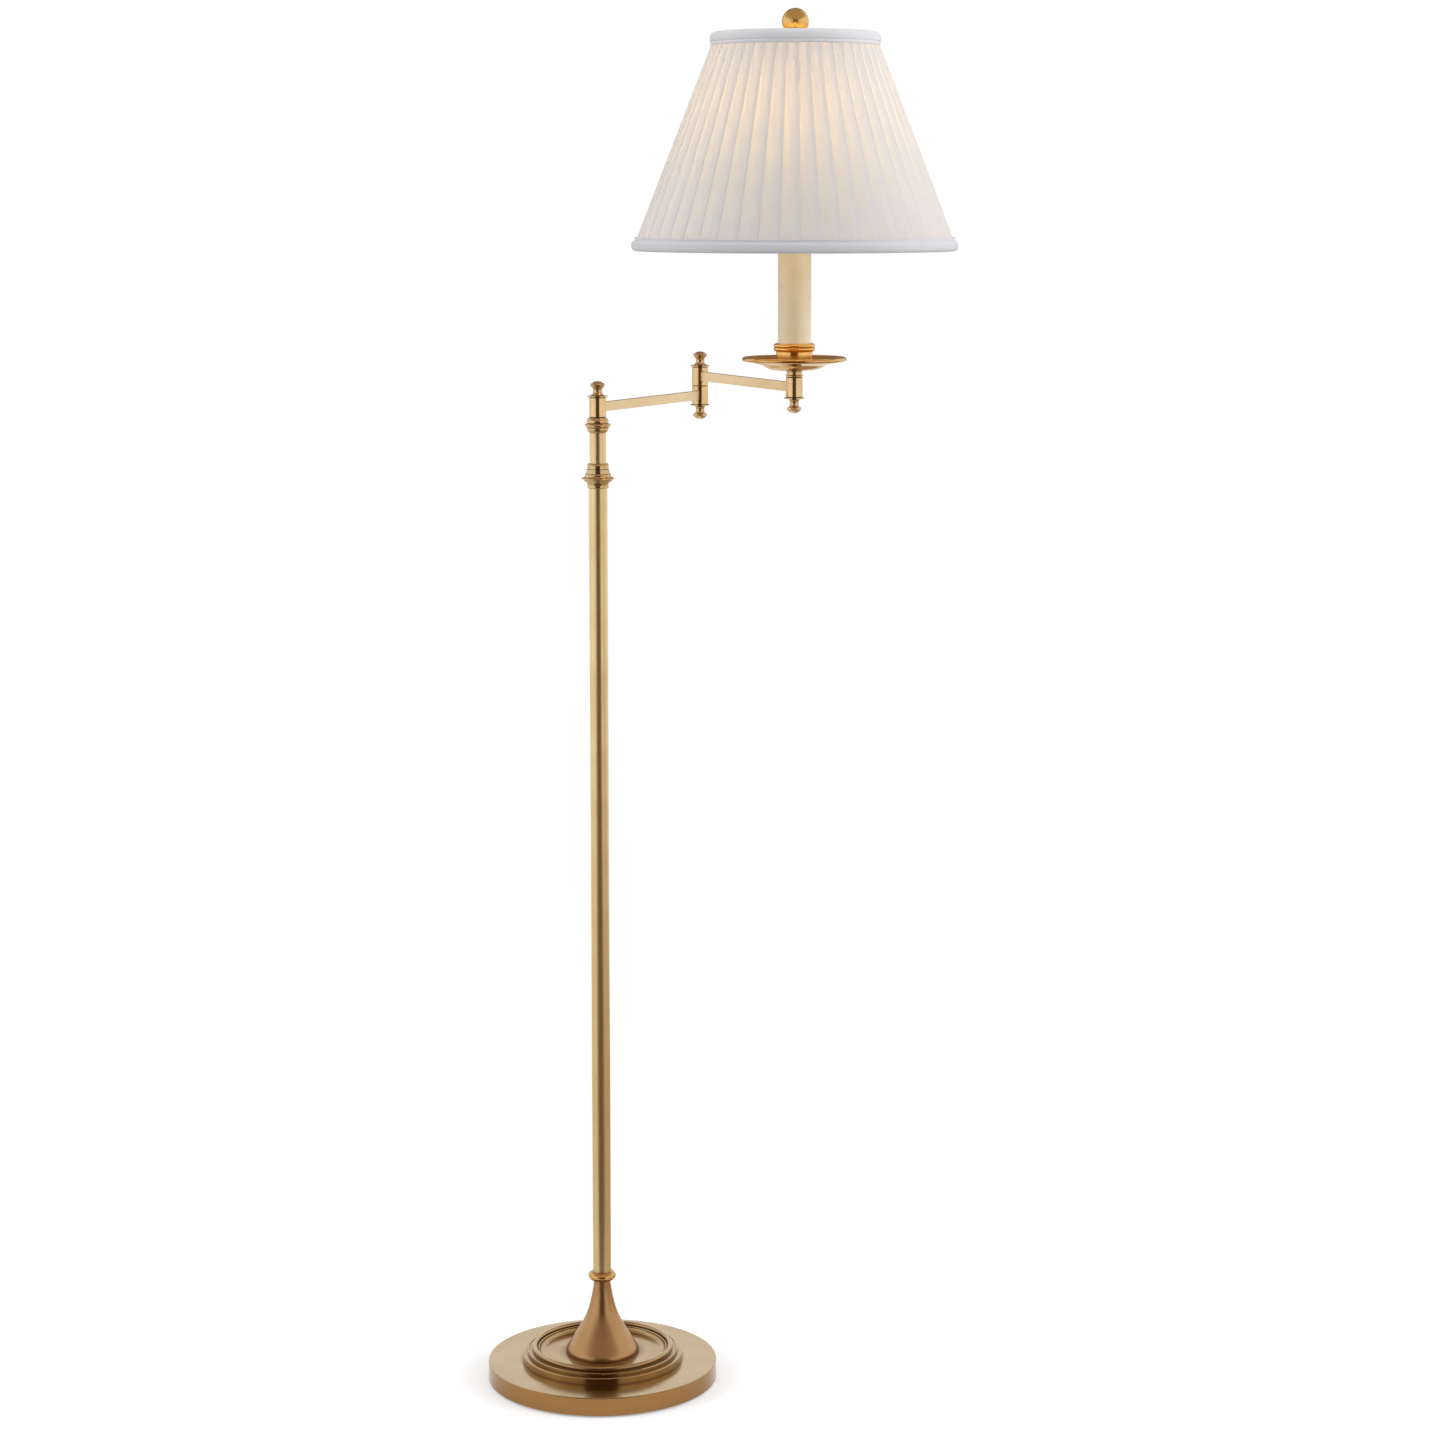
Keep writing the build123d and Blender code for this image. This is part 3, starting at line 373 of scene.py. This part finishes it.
def cloth(name):
    look = clothLooks[name]
    mat, tree, shader = newMaterial(name)
    run = addNode(tree, "UVMap", uv_map="clothRun").outputs[0]
    thin = clothWeave["stretch"]
    across = addNode(tree, "VectorMath", {0: run, 1: (1.0, thin, 1.0)}, operation="MULTIPLY").outputs[0]
    along = addNode(tree, "VectorMath", {0: run, 1: (thin, 1.0, 1.0)}, operation="MULTIPLY").outputs[0]
    warp = cloud(tree, across, look["threads"], 1.0)
    weft = cloud(tree, along, look["threads"], 1.0)
    weave = sums(tree, "MULTIPLY", sums(tree, "ADD", warp, weft), 0.5)
    bump = bumped(tree, shader, weave, clothWeave["bump"], clothWeave["depth"])
    thread = spread(tree, weave, *midTones)
    shade = shaded(look["colour"], clothWeave["shade"])
    colour = mixed(tree, thread, shade, rgba(look["colour"]))
    tree.links.new(colour, shader.inputs["Base Color"])
    setSockets(shader, {"Roughness": clothWeave["rough"], "Specular IOR Level": clothWeave["specular"],
                        "Sheen Weight": clothWeave["sheen"],
                        "Sheen Roughness": clothWeave["sheenRough"]})
    shadeThrough = shaded(look["through"], clothWeave["shadeThrough"])
    lit = mixed(tree, thread, shadeThrough, rgba(look["through"]))
    through = addNode(tree, "BsdfTranslucent", {"Color": lit, "Normal": bump}).outputs[0]
    both = addNode(tree, "MixShader", {0: look["share"], 1: shader.outputs[0], 2: through})
    if look["clear"]:
        # threads apart enough for light to pass straight through
        gaps = addNode(tree, "BsdfTransparent").outputs[0]
        both = addNode(tree, "MixShader", {0: look["clear"], 1: both.outputs[0], 2: gaps})
    showSurface(tree, both)
    return mat


feltLook = {
    "colours": ((0.030, 0.045, 0.032), (0.055, 0.075, 0.055)),
    "fibre": 900.0,
    "bump": 0.6,
    "depth": 0.0004,
    "rough": 0.95,
    "sheen": 0.5,
}


def felt():
    mat, tree, shader = newMaterial("baseFelt")
    place = addNode(tree, "TexCoord").outputs["Object"]
    fibre = cloud(tree, place, feltLook["fibre"], 4.0)
    dark, pale = feltLook["colours"]
    colour = mixed(tree, spread(tree, fibre, *midTones), rgba(dark), rgba(pale))
    tree.links.new(colour, shader.inputs["Base Color"])
    bumped(tree, shader, fibre, feltLook["bump"], feltLook["depth"])
    setSockets(shader, {"Roughness": feltLook["rough"], "Sheen Weight": feltLook["sheen"]})
    return mat


# Which finish each CAD piece takes
def headingOf(start, end):
    return math.atan2(end.y - start.y, end.x - start.x)


upTube = (1.0, 1.0, 0.02)
alongBar = (0.02, 1.0, 1.0)
firstHeading = headingOf(poleAxis, elbowAxis)
secondHeading = headingOf(elbowAxis, headAxis)
finishes = [
    (brass("brassPole", "tube", stretch=upTube), ["pole_tube", "upper_tube"]),
    (brass("brassBase", "turned", poleAxis), ["base_cover"]),
    (brass("brassDish", "dished", poleAxis), ["dish_ring"]),
    (brass("brassTrumpet", "trumpet", poleAxis), ["trumpet_stem"]),
    (brass("brassPoleBarrel", "polished", poleAxis), ["pole_barrel"]),
    (brass("brassPoleFittings", "polishedShaded", poleAxis), ["pole_collar", "pivot_collar", "pole_finial"]),
    (brass("brassNeckBead", "pan", poleAxis), ["neck_bead"]),
    (brass("brassElbowBarrels", "polished", elbowAxis), ["lower_elbow_barrel", "upper_elbow_barrel"]),
    (brass("brassElbowFinials", "polishedShaded", elbowAxis), ["elbow_top_finial", "elbow_bottom_finial"]),
    (brass("brassHeadFittings", "polished", headAxis),
     ["head_barrel", "stem_collar", "candle_cap", "socket_cap", "socket_shell", "switch_knob"]),
    (brass("brassHeadFinial", "polishedShaded", headAxis), ["head_finial"]),
    (brass("brassPan", "pan", headAxis), ["drip_pan"]),
    (brass("brassCup", "cup", headAxis), ["candle_cup"]),
    (brass("brassBall", "gilded", headAxis), ["shade_finial"]),
    (brass("brassFirstArm", "brushed", heading=firstHeading, stretch=alongBar), ["first_arm_bar"]),
    (brass("brassSecondArm", "brushed", heading=secondHeading, stretch=alongBar), ["second_arm_bar"]),
    (brass("brassHarp", "tube", headAxis), ["harp", "harp_saddle", "screw_shell", "bulb_base"]),
    (hardFinish("steel"),
     ["base_washer", "base_nut", "pole_pipe", "pole_post", "elbow_post", "head_pipe"]),
    (hardFinish("castIron"), ["base_weight"]),
    (hardFinish("bronzeBush"), ["pole_bush", "elbow_bush", "head_bush"]),
    (hardFinish("nylonWasher"), ["pole_washers", "elbow_washers", "head_washers"]),
    (hardFinish("wireCover"), ["pole_wire", "first_arm_wire", "second_arm_wire", "head_wire"]),
    (hardFinish("bushingPlastic"), ["cord_bushing"]),
    (hardFinish("phenolicBrown"), ["socket_body"]),
    (hardFinish("linerCard"), ["socket_liner"]),
    (hardFinish("frameWire"), ["shade_spider", "shade_bottom_ring"]),
    (hardFinish("ivorySleeve"), ["candle_sleeve"]),
    (bulbFinish(), ["bulb_glass"]),
]
for finish, names in finishes:
    for name in names:
        nodes[name].data.materials.clear()
        nodes[name].data.materials.append(finish)
print("finishes:", len(finishes), "on", sum(len(names) for _, names in finishes), "CAD pieces")


# Meshes
def meshPiece(name, points, faces, runs, materials, kinds=None):
    mesh = bpy.data.meshes.new(name)
    mesh.from_pydata(points, [], faces)
    layer = mesh.uv_layers.new(name="clothRun")
    for loop in mesh.loops:
        layer.data[loop.index].uv = runs[loop.vertex_index]
    mesh.polygons.foreach_set("use_smooth", [True] * len(mesh.polygons))
    for material in materials:
        mesh.materials.append(material)
    if kinds:
        mesh.polygons.foreach_set("material_index", kinds)
    mesh.update()
    piece = bpy.data.objects.new(name, mesh)
    scene.collection.objects.link(piece)
    return piece


wobbleScale = 40     # of the noise in spun cloth, per metre


def spun(name, outline, centre, segments, material, closed=True, wobble=0.0, seed=0):
    # an outline of (radius, height) spun about an upright axis
    points, runs, faces = [], [], []
    along = [0.0]
    for a, b in zip(outline, outline[1:]):
        along.append(along[-1] + math.hypot(b[0] - a[0], b[1] - a[1]))
    count = len(outline)
    for turn in range(segments):
        angle = 2 * math.pi * turn / segments
        for step, (radius, height) in enumerate(outline):
            place = Vector((math.cos(angle) * wobbleScale * radius,
                            math.sin(angle) * wobbleScale * radius, height * wobbleScale + seed))
            reach = radius + wobble * noise.noise(place)
            x = centre.x + reach * math.cos(angle)
            y = centre.y + reach * math.sin(angle)
            points.append((x, y, height))
            runs.append((angle * outline[0][0], along[step]))
    steps = count if closed else count - 1
    for turn in range(segments):
        nextTurn = (turn + 1) % segments
        for step in range(steps):
            nextStep = (step + 1) % count
            faces.append((turn * count + step, nextTurn * count + step,
                          nextTurn * count + nextStep, turn * count + nextStep))
    return meshPiece(name, points, faces, runs, [material])


def arcPoints(middle, radius, start, end, steps):
    # points on an arc in the outline's plane, angles in degrees from straight out
    found = []
    for step in range(steps + 1):
        angle = math.radians(start + (end - start) * step / steps)
        found.append((middle[0] + radius * math.cos(angle), middle[1] + radius * math.sin(angle)))
    return found


# Pleated cover: knife pleats, each a face that rises to a fold and tucks back under itself
pleats = {
    "count": 48,
    "tuckFoot": 0.0087,   # cloth tucked under each fold, at the foot and at the top
    "tuckTop": 0.0122,
    "tuckVary": 0.0007,
    "layer": 0.00028,     # one layer of cloth lies this far over the next
    "foldReach": 0.0005,  # the round of a fold, sideways
    "tuckMost": 0.97,     # most of a pleat's width that its tuck may take
    "rampLeast": 0.2,     # least of it that rises from under the last fold
    "rows": 40,
    "rampSteps": 5,
    "flatSteps": 4,
    "turnSteps": 5,
    "tuckSteps": 3,
    "jitter": 0.0005,
    "wave": 0.00010,
    "seed": 11,
}
coverLow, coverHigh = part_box("shade_pleats")
coverFoot = radiusNear("shade_pleats", headAxis, coverLow.z)
coverTop = radiusNear("shade_pleats", headAxis, coverHigh.z)


def pleatPath(fold, lastFold, outer, tuckWidth):
    # one pleat's way round at one height, as (angle, radius, kind of cloth)
    # kinds: 0 single, 1 tucked under, 2 over its own tuck
    layer = pleats["layer"]
    pitch = fold - lastFold
    tuck = min(tuckWidth / outer, pleats["tuckMost"] * pitch)
    bottom = outer - 2 * layer
    ramp = max(pitch - tuck, pleats["rampLeast"] * pitch)
    flat = pitch - ramp - pleats["foldReach"] / outer
    path = []
    for step in range(pleats["rampSteps"]):
        up = step / pleats["rampSteps"]
        path.append((lastFold + ramp * up, bottom + 2 * layer * up, 0))
    for step in range(pleats["flatSteps"]):
        path.append((lastFold + ramp + flat * step / (pleats["flatSteps"] - 1), outer, 2))
    for step in range(pleats["turnSteps"]):
        turn = math.radians(90 - 180 * step / (pleats["turnSteps"] - 1))
        path.append((fold + pleats["foldReach"] * (math.cos(turn) - 0.5) / outer,
                     outer - layer / 2 + layer / 2 * math.sin(turn), 2))
    for step in range(1, pleats["tuckSteps"]):
        path.append((fold - tuck * step / pleats["tuckSteps"], outer - layer, 1))
    for step in range(pleats["turnSteps"]):
        turn = math.radians(90 + 180 * step / (pleats["turnSteps"] - 1))
        path.append((fold - tuck + layer / 2 * math.cos(turn) / outer,
                     outer - 1.5 * layer + layer / 2 * math.sin(turn), 1))
    for step in range(1, pleats["tuckSteps"]):
        path.append((fold - tuck + tuck * step / pleats["tuckSteps"], bottom, 1))
    return path


def pleatedCover():
    draw = random.Random(pleats["seed"])
    pitch = 2 * math.pi / pleats["count"]
    habits = [(draw.uniform(-1, 1), draw.uniform(0, 2 * math.pi), draw.uniform(-1, 1))
              for _ in range(pleats["count"])]
    rows, points, runs, faces, kinds = pleats["rows"], [], [], [], []
    for row in range(rows + 1):
        up = row / rows
        outer = coverFoot + (coverTop - coverFoot) * up
        height = coverLow.z + (coverHigh.z - coverLow.z) * up
        folds = []
        for number, (lean, phase, _) in enumerate(habits):
            drift = pleats["jitter"] * lean + pleats["wave"] * math.sin(phase + 2 * math.pi * up)
            folds.append(pitch * number + drift / outer)
        plainTuck = pleats["tuckFoot"] + (pleats["tuckTop"] - pleats["tuckFoot"]) * up
        along = 0.0
        last = None
        for number in range(pleats["count"]):
            lastFold = folds[number - 1] - (2 * math.pi if number == 0 else 0)
            tuck = plainTuck + pleats["tuckVary"] * habits[number][2]
            for angle, radius, kind in pleatPath(folds[number], lastFold, outer, tuck):
                if row < rows:
                    kinds.append(kind)
                x = headAxis.x + radius * math.cos(angle)
                y = headAxis.y + radius * math.sin(angle)
                spot = (x, y, height)
                if last is not None:
                    along += math.dist(last, spot)
                last = spot
                points.append(spot)
                runs.append((along, height - coverLow.z))
    count = len(points) // (rows + 1)
    for row in range(rows):
        for step in range(count):
            nextStep = (step + 1) % count
            faces.append((row * count + step, row * count + nextStep,
                          (row + 1) * count + nextStep, (row + 1) * count + step))
    cutWidths = [runs[count - 1][0], runs[-1][0]]
    cloths = [cloth("pleatedCloth"), cloth("tuckedCloth"), cloth("layeredCloth")]
    return meshPiece("pleatedCover", points, faces, runs, cloths, kinds), cutWidths


cover, cutWidths = pleatedCover()

# Rolled cloth trims, each a padded band with a sewn lip beside the pleats
trims = {
    "segments": 240,
    "wobble": 0.0002,
    "steps": 6,
    "creaseSteps": 3,
    "gap": 0.0003,        # beside the pleats
    "top": {"lip": 0.0032, "depth": 0.010, "web": 0.004, "belly": 0.0022, "crown": 0.0062, "seed": 3},
    "bottom": {"band": 0.0112, "depth": 0.0105, "web": 0.006, "belly": 0.0042, "seed": 8},
    "lipRound": 0.0010,
    "crease": 0.0007,
}


def clothSide(height):
    # outside of the pleats at a height, and a little beyond
    up = (height - coverLow.z) / (coverHigh.z - coverLow.z)
    return coverFoot + (coverTop - coverFoot) * up + trims["gap"]


def topTrim():
    low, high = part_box("shade_top_trim")
    look, edgeRound, crease, steps = trims["top"], trims["lipRound"], trims["crease"], trims["steps"]
    reach = (high.x - low.x) / 2
    lip = radiusNear("shade_top_trim", headAxis, low.z)
    seam = low.z + look["lip"]
    belly, crownRound = look["belly"], look["crown"]
    inside = reach - look["depth"]
    web = high.z - look["web"]
    outline = [(clothSide(low.z), low.z)]
    outline += arcPoints((lip - edgeRound, low.z + edgeRound), edgeRound, -60, 0, steps)
    outline += arcPoints((lip - edgeRound, seam - edgeRound), edgeRound, 0, 50, steps)
    outline += [(lip - crease, seam)]
    outline += arcPoints((reach - belly, seam + belly), belly, -50, 0, steps)
    outline += arcPoints((reach - crownRound, high.z - crownRound), crownRound, 0, 90, steps)
    outline += [(inside + edgeRound, high.z), (inside, high.z - edgeRound), (inside, web)]
    outline += [(clothSide(coverHigh.z), web)]
    return spun("topTrim", outline, headAxis, trims["segments"], cloth("litTrimCloth"),
                wobble=trims["wobble"], seed=look["seed"])


def bottomTrim():
    low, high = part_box("shade_bottom_trim")
    look, edgeRound, crease, steps = trims["bottom"], trims["lipRound"], trims["crease"], trims["steps"]
    reach = (high.x - low.x) / 2
    lip = radiusNear("shade_bottom_trim", headAxis, high.z) + edgeRound
    seam = low.z + look["band"]
    belly = look["belly"]
    inside = reach - look["depth"]
    web = low.z + look["web"]
    outline = [(inside, web), (inside, low.z + edgeRound), (inside + edgeRound, low.z)]
    outline += arcPoints((reach - belly, low.z + belly), belly, -90, 0, steps)
    outline += arcPoints((reach - belly, seam - belly), belly, 0, 75, steps)
    outline += [(lip - crease, seam + crease / 2)]
    outline += arcPoints((lip - edgeRound, seam + 2 * edgeRound), edgeRound, -40, 0,
                         trims["creaseSteps"])
    outline += arcPoints((lip - edgeRound, high.z - edgeRound), edgeRound, 0, 80, steps)
    outline += [(clothSide(high.z), high.z - crease / 2), (clothSide(coverLow.z), web)]
    return spun("bottomTrim", outline, headAxis, trims["segments"], cloth("trimCloth"),
                wobble=trims["wobble"], seed=look["seed"])


crown = topTrim()
hem = bottomTrim()
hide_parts("shade_pleats")
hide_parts("shade_top_trim")
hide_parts("shade_bottom_trim")

# Lining: one cone of cloth on the inside of the pleats
liningLook = {"segments": 144, "rows": 12, "inset": 0.0004, "slantOverRise": 1.08}


def shadeLining():
    low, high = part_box("shade_lining")
    foot = radiusNear("shade_lining", headAxis, low.z) - liningLook["inset"]
    top = radiusNear("shade_lining", headAxis, high.z) - liningLook["inset"]
    outline = []
    for row in range(liningLook["rows"] + 1):
        up = row / liningLook["rows"]
        outline.append((foot + (top - foot) * up, low.z + (high.z - low.z) * up))
    lining = spun("shadeLining", outline, headAxis, liningLook["segments"], cloth("liningCloth"),
                  closed=False)
    area = math.pi * (foot + top) * math.hypot(foot - top, high.z - low.z)
    return lining, area, foot, high.z - low.z


lining, liningArea, liningFoot, liningRise = shadeLining()
lining.visible_shadow = False
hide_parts("shade_lining")

# Felt under the base, a disc with soft edges
feltDisc = {
    "segments": 128,
    "lowEdge": 0.0006,
    "topEdge": 0.0004,
    "rings": (0.02, 0.06, 0.09),
    "wobble": 0.0005,
    "seed": 5,
}
feltLow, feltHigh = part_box("base_felt")
feltReach = (feltHigh.x - feltLow.x) / 2


def feltPiece():
    lowEdge, topEdge, rings = feltDisc["lowEdge"], feltDisc["topEdge"], feltDisc["rings"]
    outline = [(ring, feltLow.z) for ring in rings]
    outline += [(feltReach - lowEdge, feltLow.z), (feltReach, feltLow.z + lowEdge)]
    outline += [(feltReach, feltHigh.z - topEdge), (feltReach - topEdge, feltHigh.z)]
    outline += [(ring, feltHigh.z) for ring in reversed(rings)]
    disc = spun("feltPad", outline, poleAxis, feltDisc["segments"], felt(), closed=False,
                wobble=feltDisc["wobble"], seed=feltDisc["seed"])
    solid = bmesh.new()
    solid.from_mesh(disc.data)
    bmesh.ops.holes_fill(solid, edges=[edge for edge in solid.edges if edge.is_boundary])
    bmesh.ops.recalc_face_normals(solid, faces=solid.faces)
    solid.to_mesh(disc.data)
    solid.free()
    return disc


feltPad = feltPiece()
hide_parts("base_felt")
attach(feltPad, "stand")
for piece in (cover, crown, hem, lining):
    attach(piece, "lamp_head")
print("shade and felt: 5 soft pieces")

# The lamp's own light
lampLight = {
    "power": 0.43,
    "colour": (1.0, 0.67, 0.25),
    "radius": 0.028,
    "off": (-0.006, -0.048, 0.006),   # from the bulb's middle
}
glow = bpy.data.lights.new("bulbGlow", "POINT")
glow.energy = lampLight["power"]
glow.color = lampLight["colour"]
glow.shadow_soft_size = lampLight["radius"]
glowLamp = bpy.data.objects.new("bulbGlow", glow)
glowLamp.location = bulbMiddle + Vector(lampLight["off"])
glowLamp.visible_glossy = False
scene.collection.objects.link(glowLamp)
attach(glowLamp, "lamp_head")
nodes["bulb_glass"].visible_shadow = False

# Studio: soft light from both sides, above and low in front, a pale floor, white all round,
# and cards that only metal shows
studio = {
    "leftBox": {"power": 34.8, "size": (2.3, 3.0), "at": (-2.4, -0.5, 1.3)},
    "rightBox": {"power": 52.0, "size": (2.9, 3.1), "at": (2.6, -0.5, 1.3)},
    "topBox": {"power": 9.5, "size": (2.4, 2.4), "at": (0.2, -0.2, 3.3)},
    "lowBox": {"power": 6.5, "size": (1.8, 0.8), "at": (0.25, -2.4, 0.45)},
    "aim": (0.1, 0.0, 0.85),     # from the pole's foot
    "ambient": 0.45,
    "floor": {"radius": 14.0, "steps": 96, "drop": 0.0003, "colour": (0.86, 0.86, 0.87), "rough": 0.9,
              "lift": 0.36, "plainFrom": 0.5, "plainTo": 1.5},
    "cardLevel": 0.004,
    "dark": (0.085, 0.050, 0.025),
    "darkFloor": (0.150, 0.105, 0.062),
    "dim": (0.30, 0.20, 0.11),
    "ceiling": (0.49, 0.40, 0.36),
    "left": {"wall": (1.14, 1.17, 1.19), "foot": (1.08, 1.15, 1.22), "floor": (0.76, 0.72, 0.64)},
    "right": {"wall": (1.08, 1.05, 1.00), "foot": (0.74, 0.61, 0.43), "floor": (0.53, 0.44, 0.32)},
    "front": {"far": -5.6, "half": 2.58, "top": 2.9},
    "runner": ((-0.22, 0.14), (-0.6, 0.54), (-1.9, 1.75)),   # dark floor in front: place, half width
    "back": {"far": 1.3, "half": 0.8, "low": 0.95},
    "sides": {"reach": 3.2, "from": -1.9, "to": -0.2, "split": 0.75, "top": 2.8, "near": 0.22,
              "behind": 1.5},
}
aimX, aimY, aimZ = studio["aim"]
aim = Vector((poleAxis.x + aimX, aimY, aimZ))


def softbox(name, power, size, at, target):
    light = bpy.data.lights.new(name, "AREA")
    light.shape = "RECTANGLE"
    light.size, light.size_y = size
    light.energy = power
    lamp = bpy.data.objects.new(name, light)
    lamp.location = at
    lamp.rotation_euler = (target - Vector(at)).to_track_quat("-Z", "Y").to_euler()
    lamp.visible_glossy = False
    scene.collection.objects.link(lamp)


for name in ("leftBox", "rightBox", "topBox", "lowBox"):
    box = studio[name]
    softbox(name, box["power"], box["size"], box["at"], bulbMiddle if name == "lowBox" else aim)


def seenRays(tree):
    # 1 where the camera, a mirror or glass looks straight at it
    rays = addNode(tree, "LightPath").outputs
    found = sums(tree, "MAXIMUM", rays["Is Camera Ray"], rays["Is Glossy Ray"])
    return sums(tree, "MAXIMUM", found, rays["Is Transmission Ray"])


def whiteWorld():
    world = bpy.data.worlds.new("studioWorld")
    world.use_nodes = True
    tree = world.node_tree
    ambient = tree.nodes["Background"]
    setSockets(ambient, {"Color": plainWhite, "Strength": studio["ambient"]})
    white = addNode(tree, "Background", {"Color": plainWhite, "Strength": 1.0})
    both = addNode(tree, "MixShader", {0: seenRays(tree), 1: ambient.outputs[0], 2: white.outputs[0]})
    tree.links.new(both.outputs[0], tree.nodes["World Output"].inputs["Surface"])
    scene.world = world


def paleFloor():
    look = studio["floor"]
    steps = look["steps"]
    rim = [(look["radius"] * math.cos(2 * math.pi * step / steps),
            look["radius"] * math.sin(2 * math.pi * step / steps), 0.0) for step in range(steps)]
    mesh = bpy.data.meshes.new("floor")
    mesh.from_pydata(rim, [], [tuple(range(steps))])
    floor = bpy.data.objects.new("floor", mesh)
    floor.location.z = cadBox[0][2] - look["drop"]
    scene.collection.objects.link(floor)
    mat, tree, shader = newMaterial("paleFloor")
    setSockets(shader, {"Base Color": rgba(look["colour"]), "Roughness": look["rough"],
                        "Specular IOR Level": 0.0})
    seen = seenRays(tree)
    lifted = sums(tree, "MULTIPLY", seen, look["lift"])
    lift = addNode(tree, "Emission", {"Color": plainWhite, "Strength": lifted})
    near = addNode(tree, "AddShader", {0: shader.outputs[0], 1: lift.outputs[0]})
    far = addNode(tree, "Emission", {"Color": plainWhite, "Strength": seen})
    place = addNode(tree, "TexCoord").outputs["Object"]
    reach = addNode(tree, "VectorMath", {0: place}, operation="LENGTH").outputs["Value"]
    share = spread(tree, reach, look["plainFrom"], look["plainTo"])
    both = addNode(tree, "MixShader", {0: share, 1: near.outputs[0], 2: far.outputs[0]})
    showSurface(tree, both)
    mesh.materials.append(mat)


def mirrorCard(name, corners, colour):
    # a flat card that shows only where metal mirrors it
    mesh = bpy.data.meshes.new(name)
    mesh.from_pydata(corners, [], [tuple(range(len(corners)))])
    card = bpy.data.objects.new(name, mesh)
    scene.collection.objects.link(card)
    mat, tree, _ = newMaterial(name)
    showSurface(tree, addNode(tree, "Emission", {"Color": rgba(colour), "Strength": 1.0}))
    mesh.materials.append(mat)
    for kind in ("camera", "diffuse", "shadow", "transmission", "volume_scatter"):
        setattr(card, "visible_" + kind, False)


def wall(name, start, end, low, high, colour):
    mirrorCard(name, [(*start, low), (*end, low), (*end, high), (*start, high)], colour)


def flat(name, start, end, level, colour):
    corners = [(start[0], start[1]), (end[0], start[1]), (end[0], end[1]), (start[0], end[1])]
    mirrorCard(name, [(x, y, level) for x, y in corners], colour)


def mirrorCards():
    front, back, sides = studio["front"], studio["back"], studio["sides"]
    far, half, top = front["far"], front["half"], front["top"]
    reach, level = sides["reach"], studio["cardLevel"]
    wall("frontCard", (-half, far), (half, far), level, top, studio["dark"])
    edge = [(half, far)] + [(wide, place) for place, wide in reversed(studio["runner"])]
    edge += [(-x, y) for x, y in reversed(edge)]
    mirrorCard("runnerCard", [(x, y, level) for x, y in edge], studio["darkFloor"])
    flat("ceilingCard", (-reach, far), (reach, back["far"]), top, studio["ceiling"])
    start, end = (-back["half"], back["far"]), (back["half"], back["far"])
    wall("backCard", start, end, back["low"], top, studio["dim"])
    for side, way in (("left", -1), ("right", 1)):
        look = studio[side]
        start, end = (way * reach, sides["from"]), (way * reach, sides["to"])
        wall(side + "Card", start, end, sides["split"], sides["top"], look["wall"])
        wall(side + "FootCard", start, end, level, sides["split"], look["foot"])
        start, end = (way * sides["near"], sides["from"]), (way * reach, sides["behind"])
        flat(side + "FloorCard", start, end, level / 2, look["floor"])


whiteWorld()
paleFloor()
mirrorCards()
print("studio: lights, floor and cards")

# Camera, level with the shade and a little down, as in the photograph
view = {"at": (0.1014, -3.542, 1.312), "down": 8.123, "aside": 0.483, "lens": 82.47, "sensor": 36.0,
        "shift": -0.04}
camera = bpy.data.objects.new("camera", bpy.data.cameras.new("camera"))
camera.location = view["at"]
camera.rotation_euler = (math.radians(90 - view["down"]), 0.0, math.radians(-view["aside"]))
camera.data.lens = view["lens"]
camera.data.sensor_width = view["sensor"]
camera.data.shift_y = view["shift"]
scene.collection.objects.link(camera)
scene.camera = camera
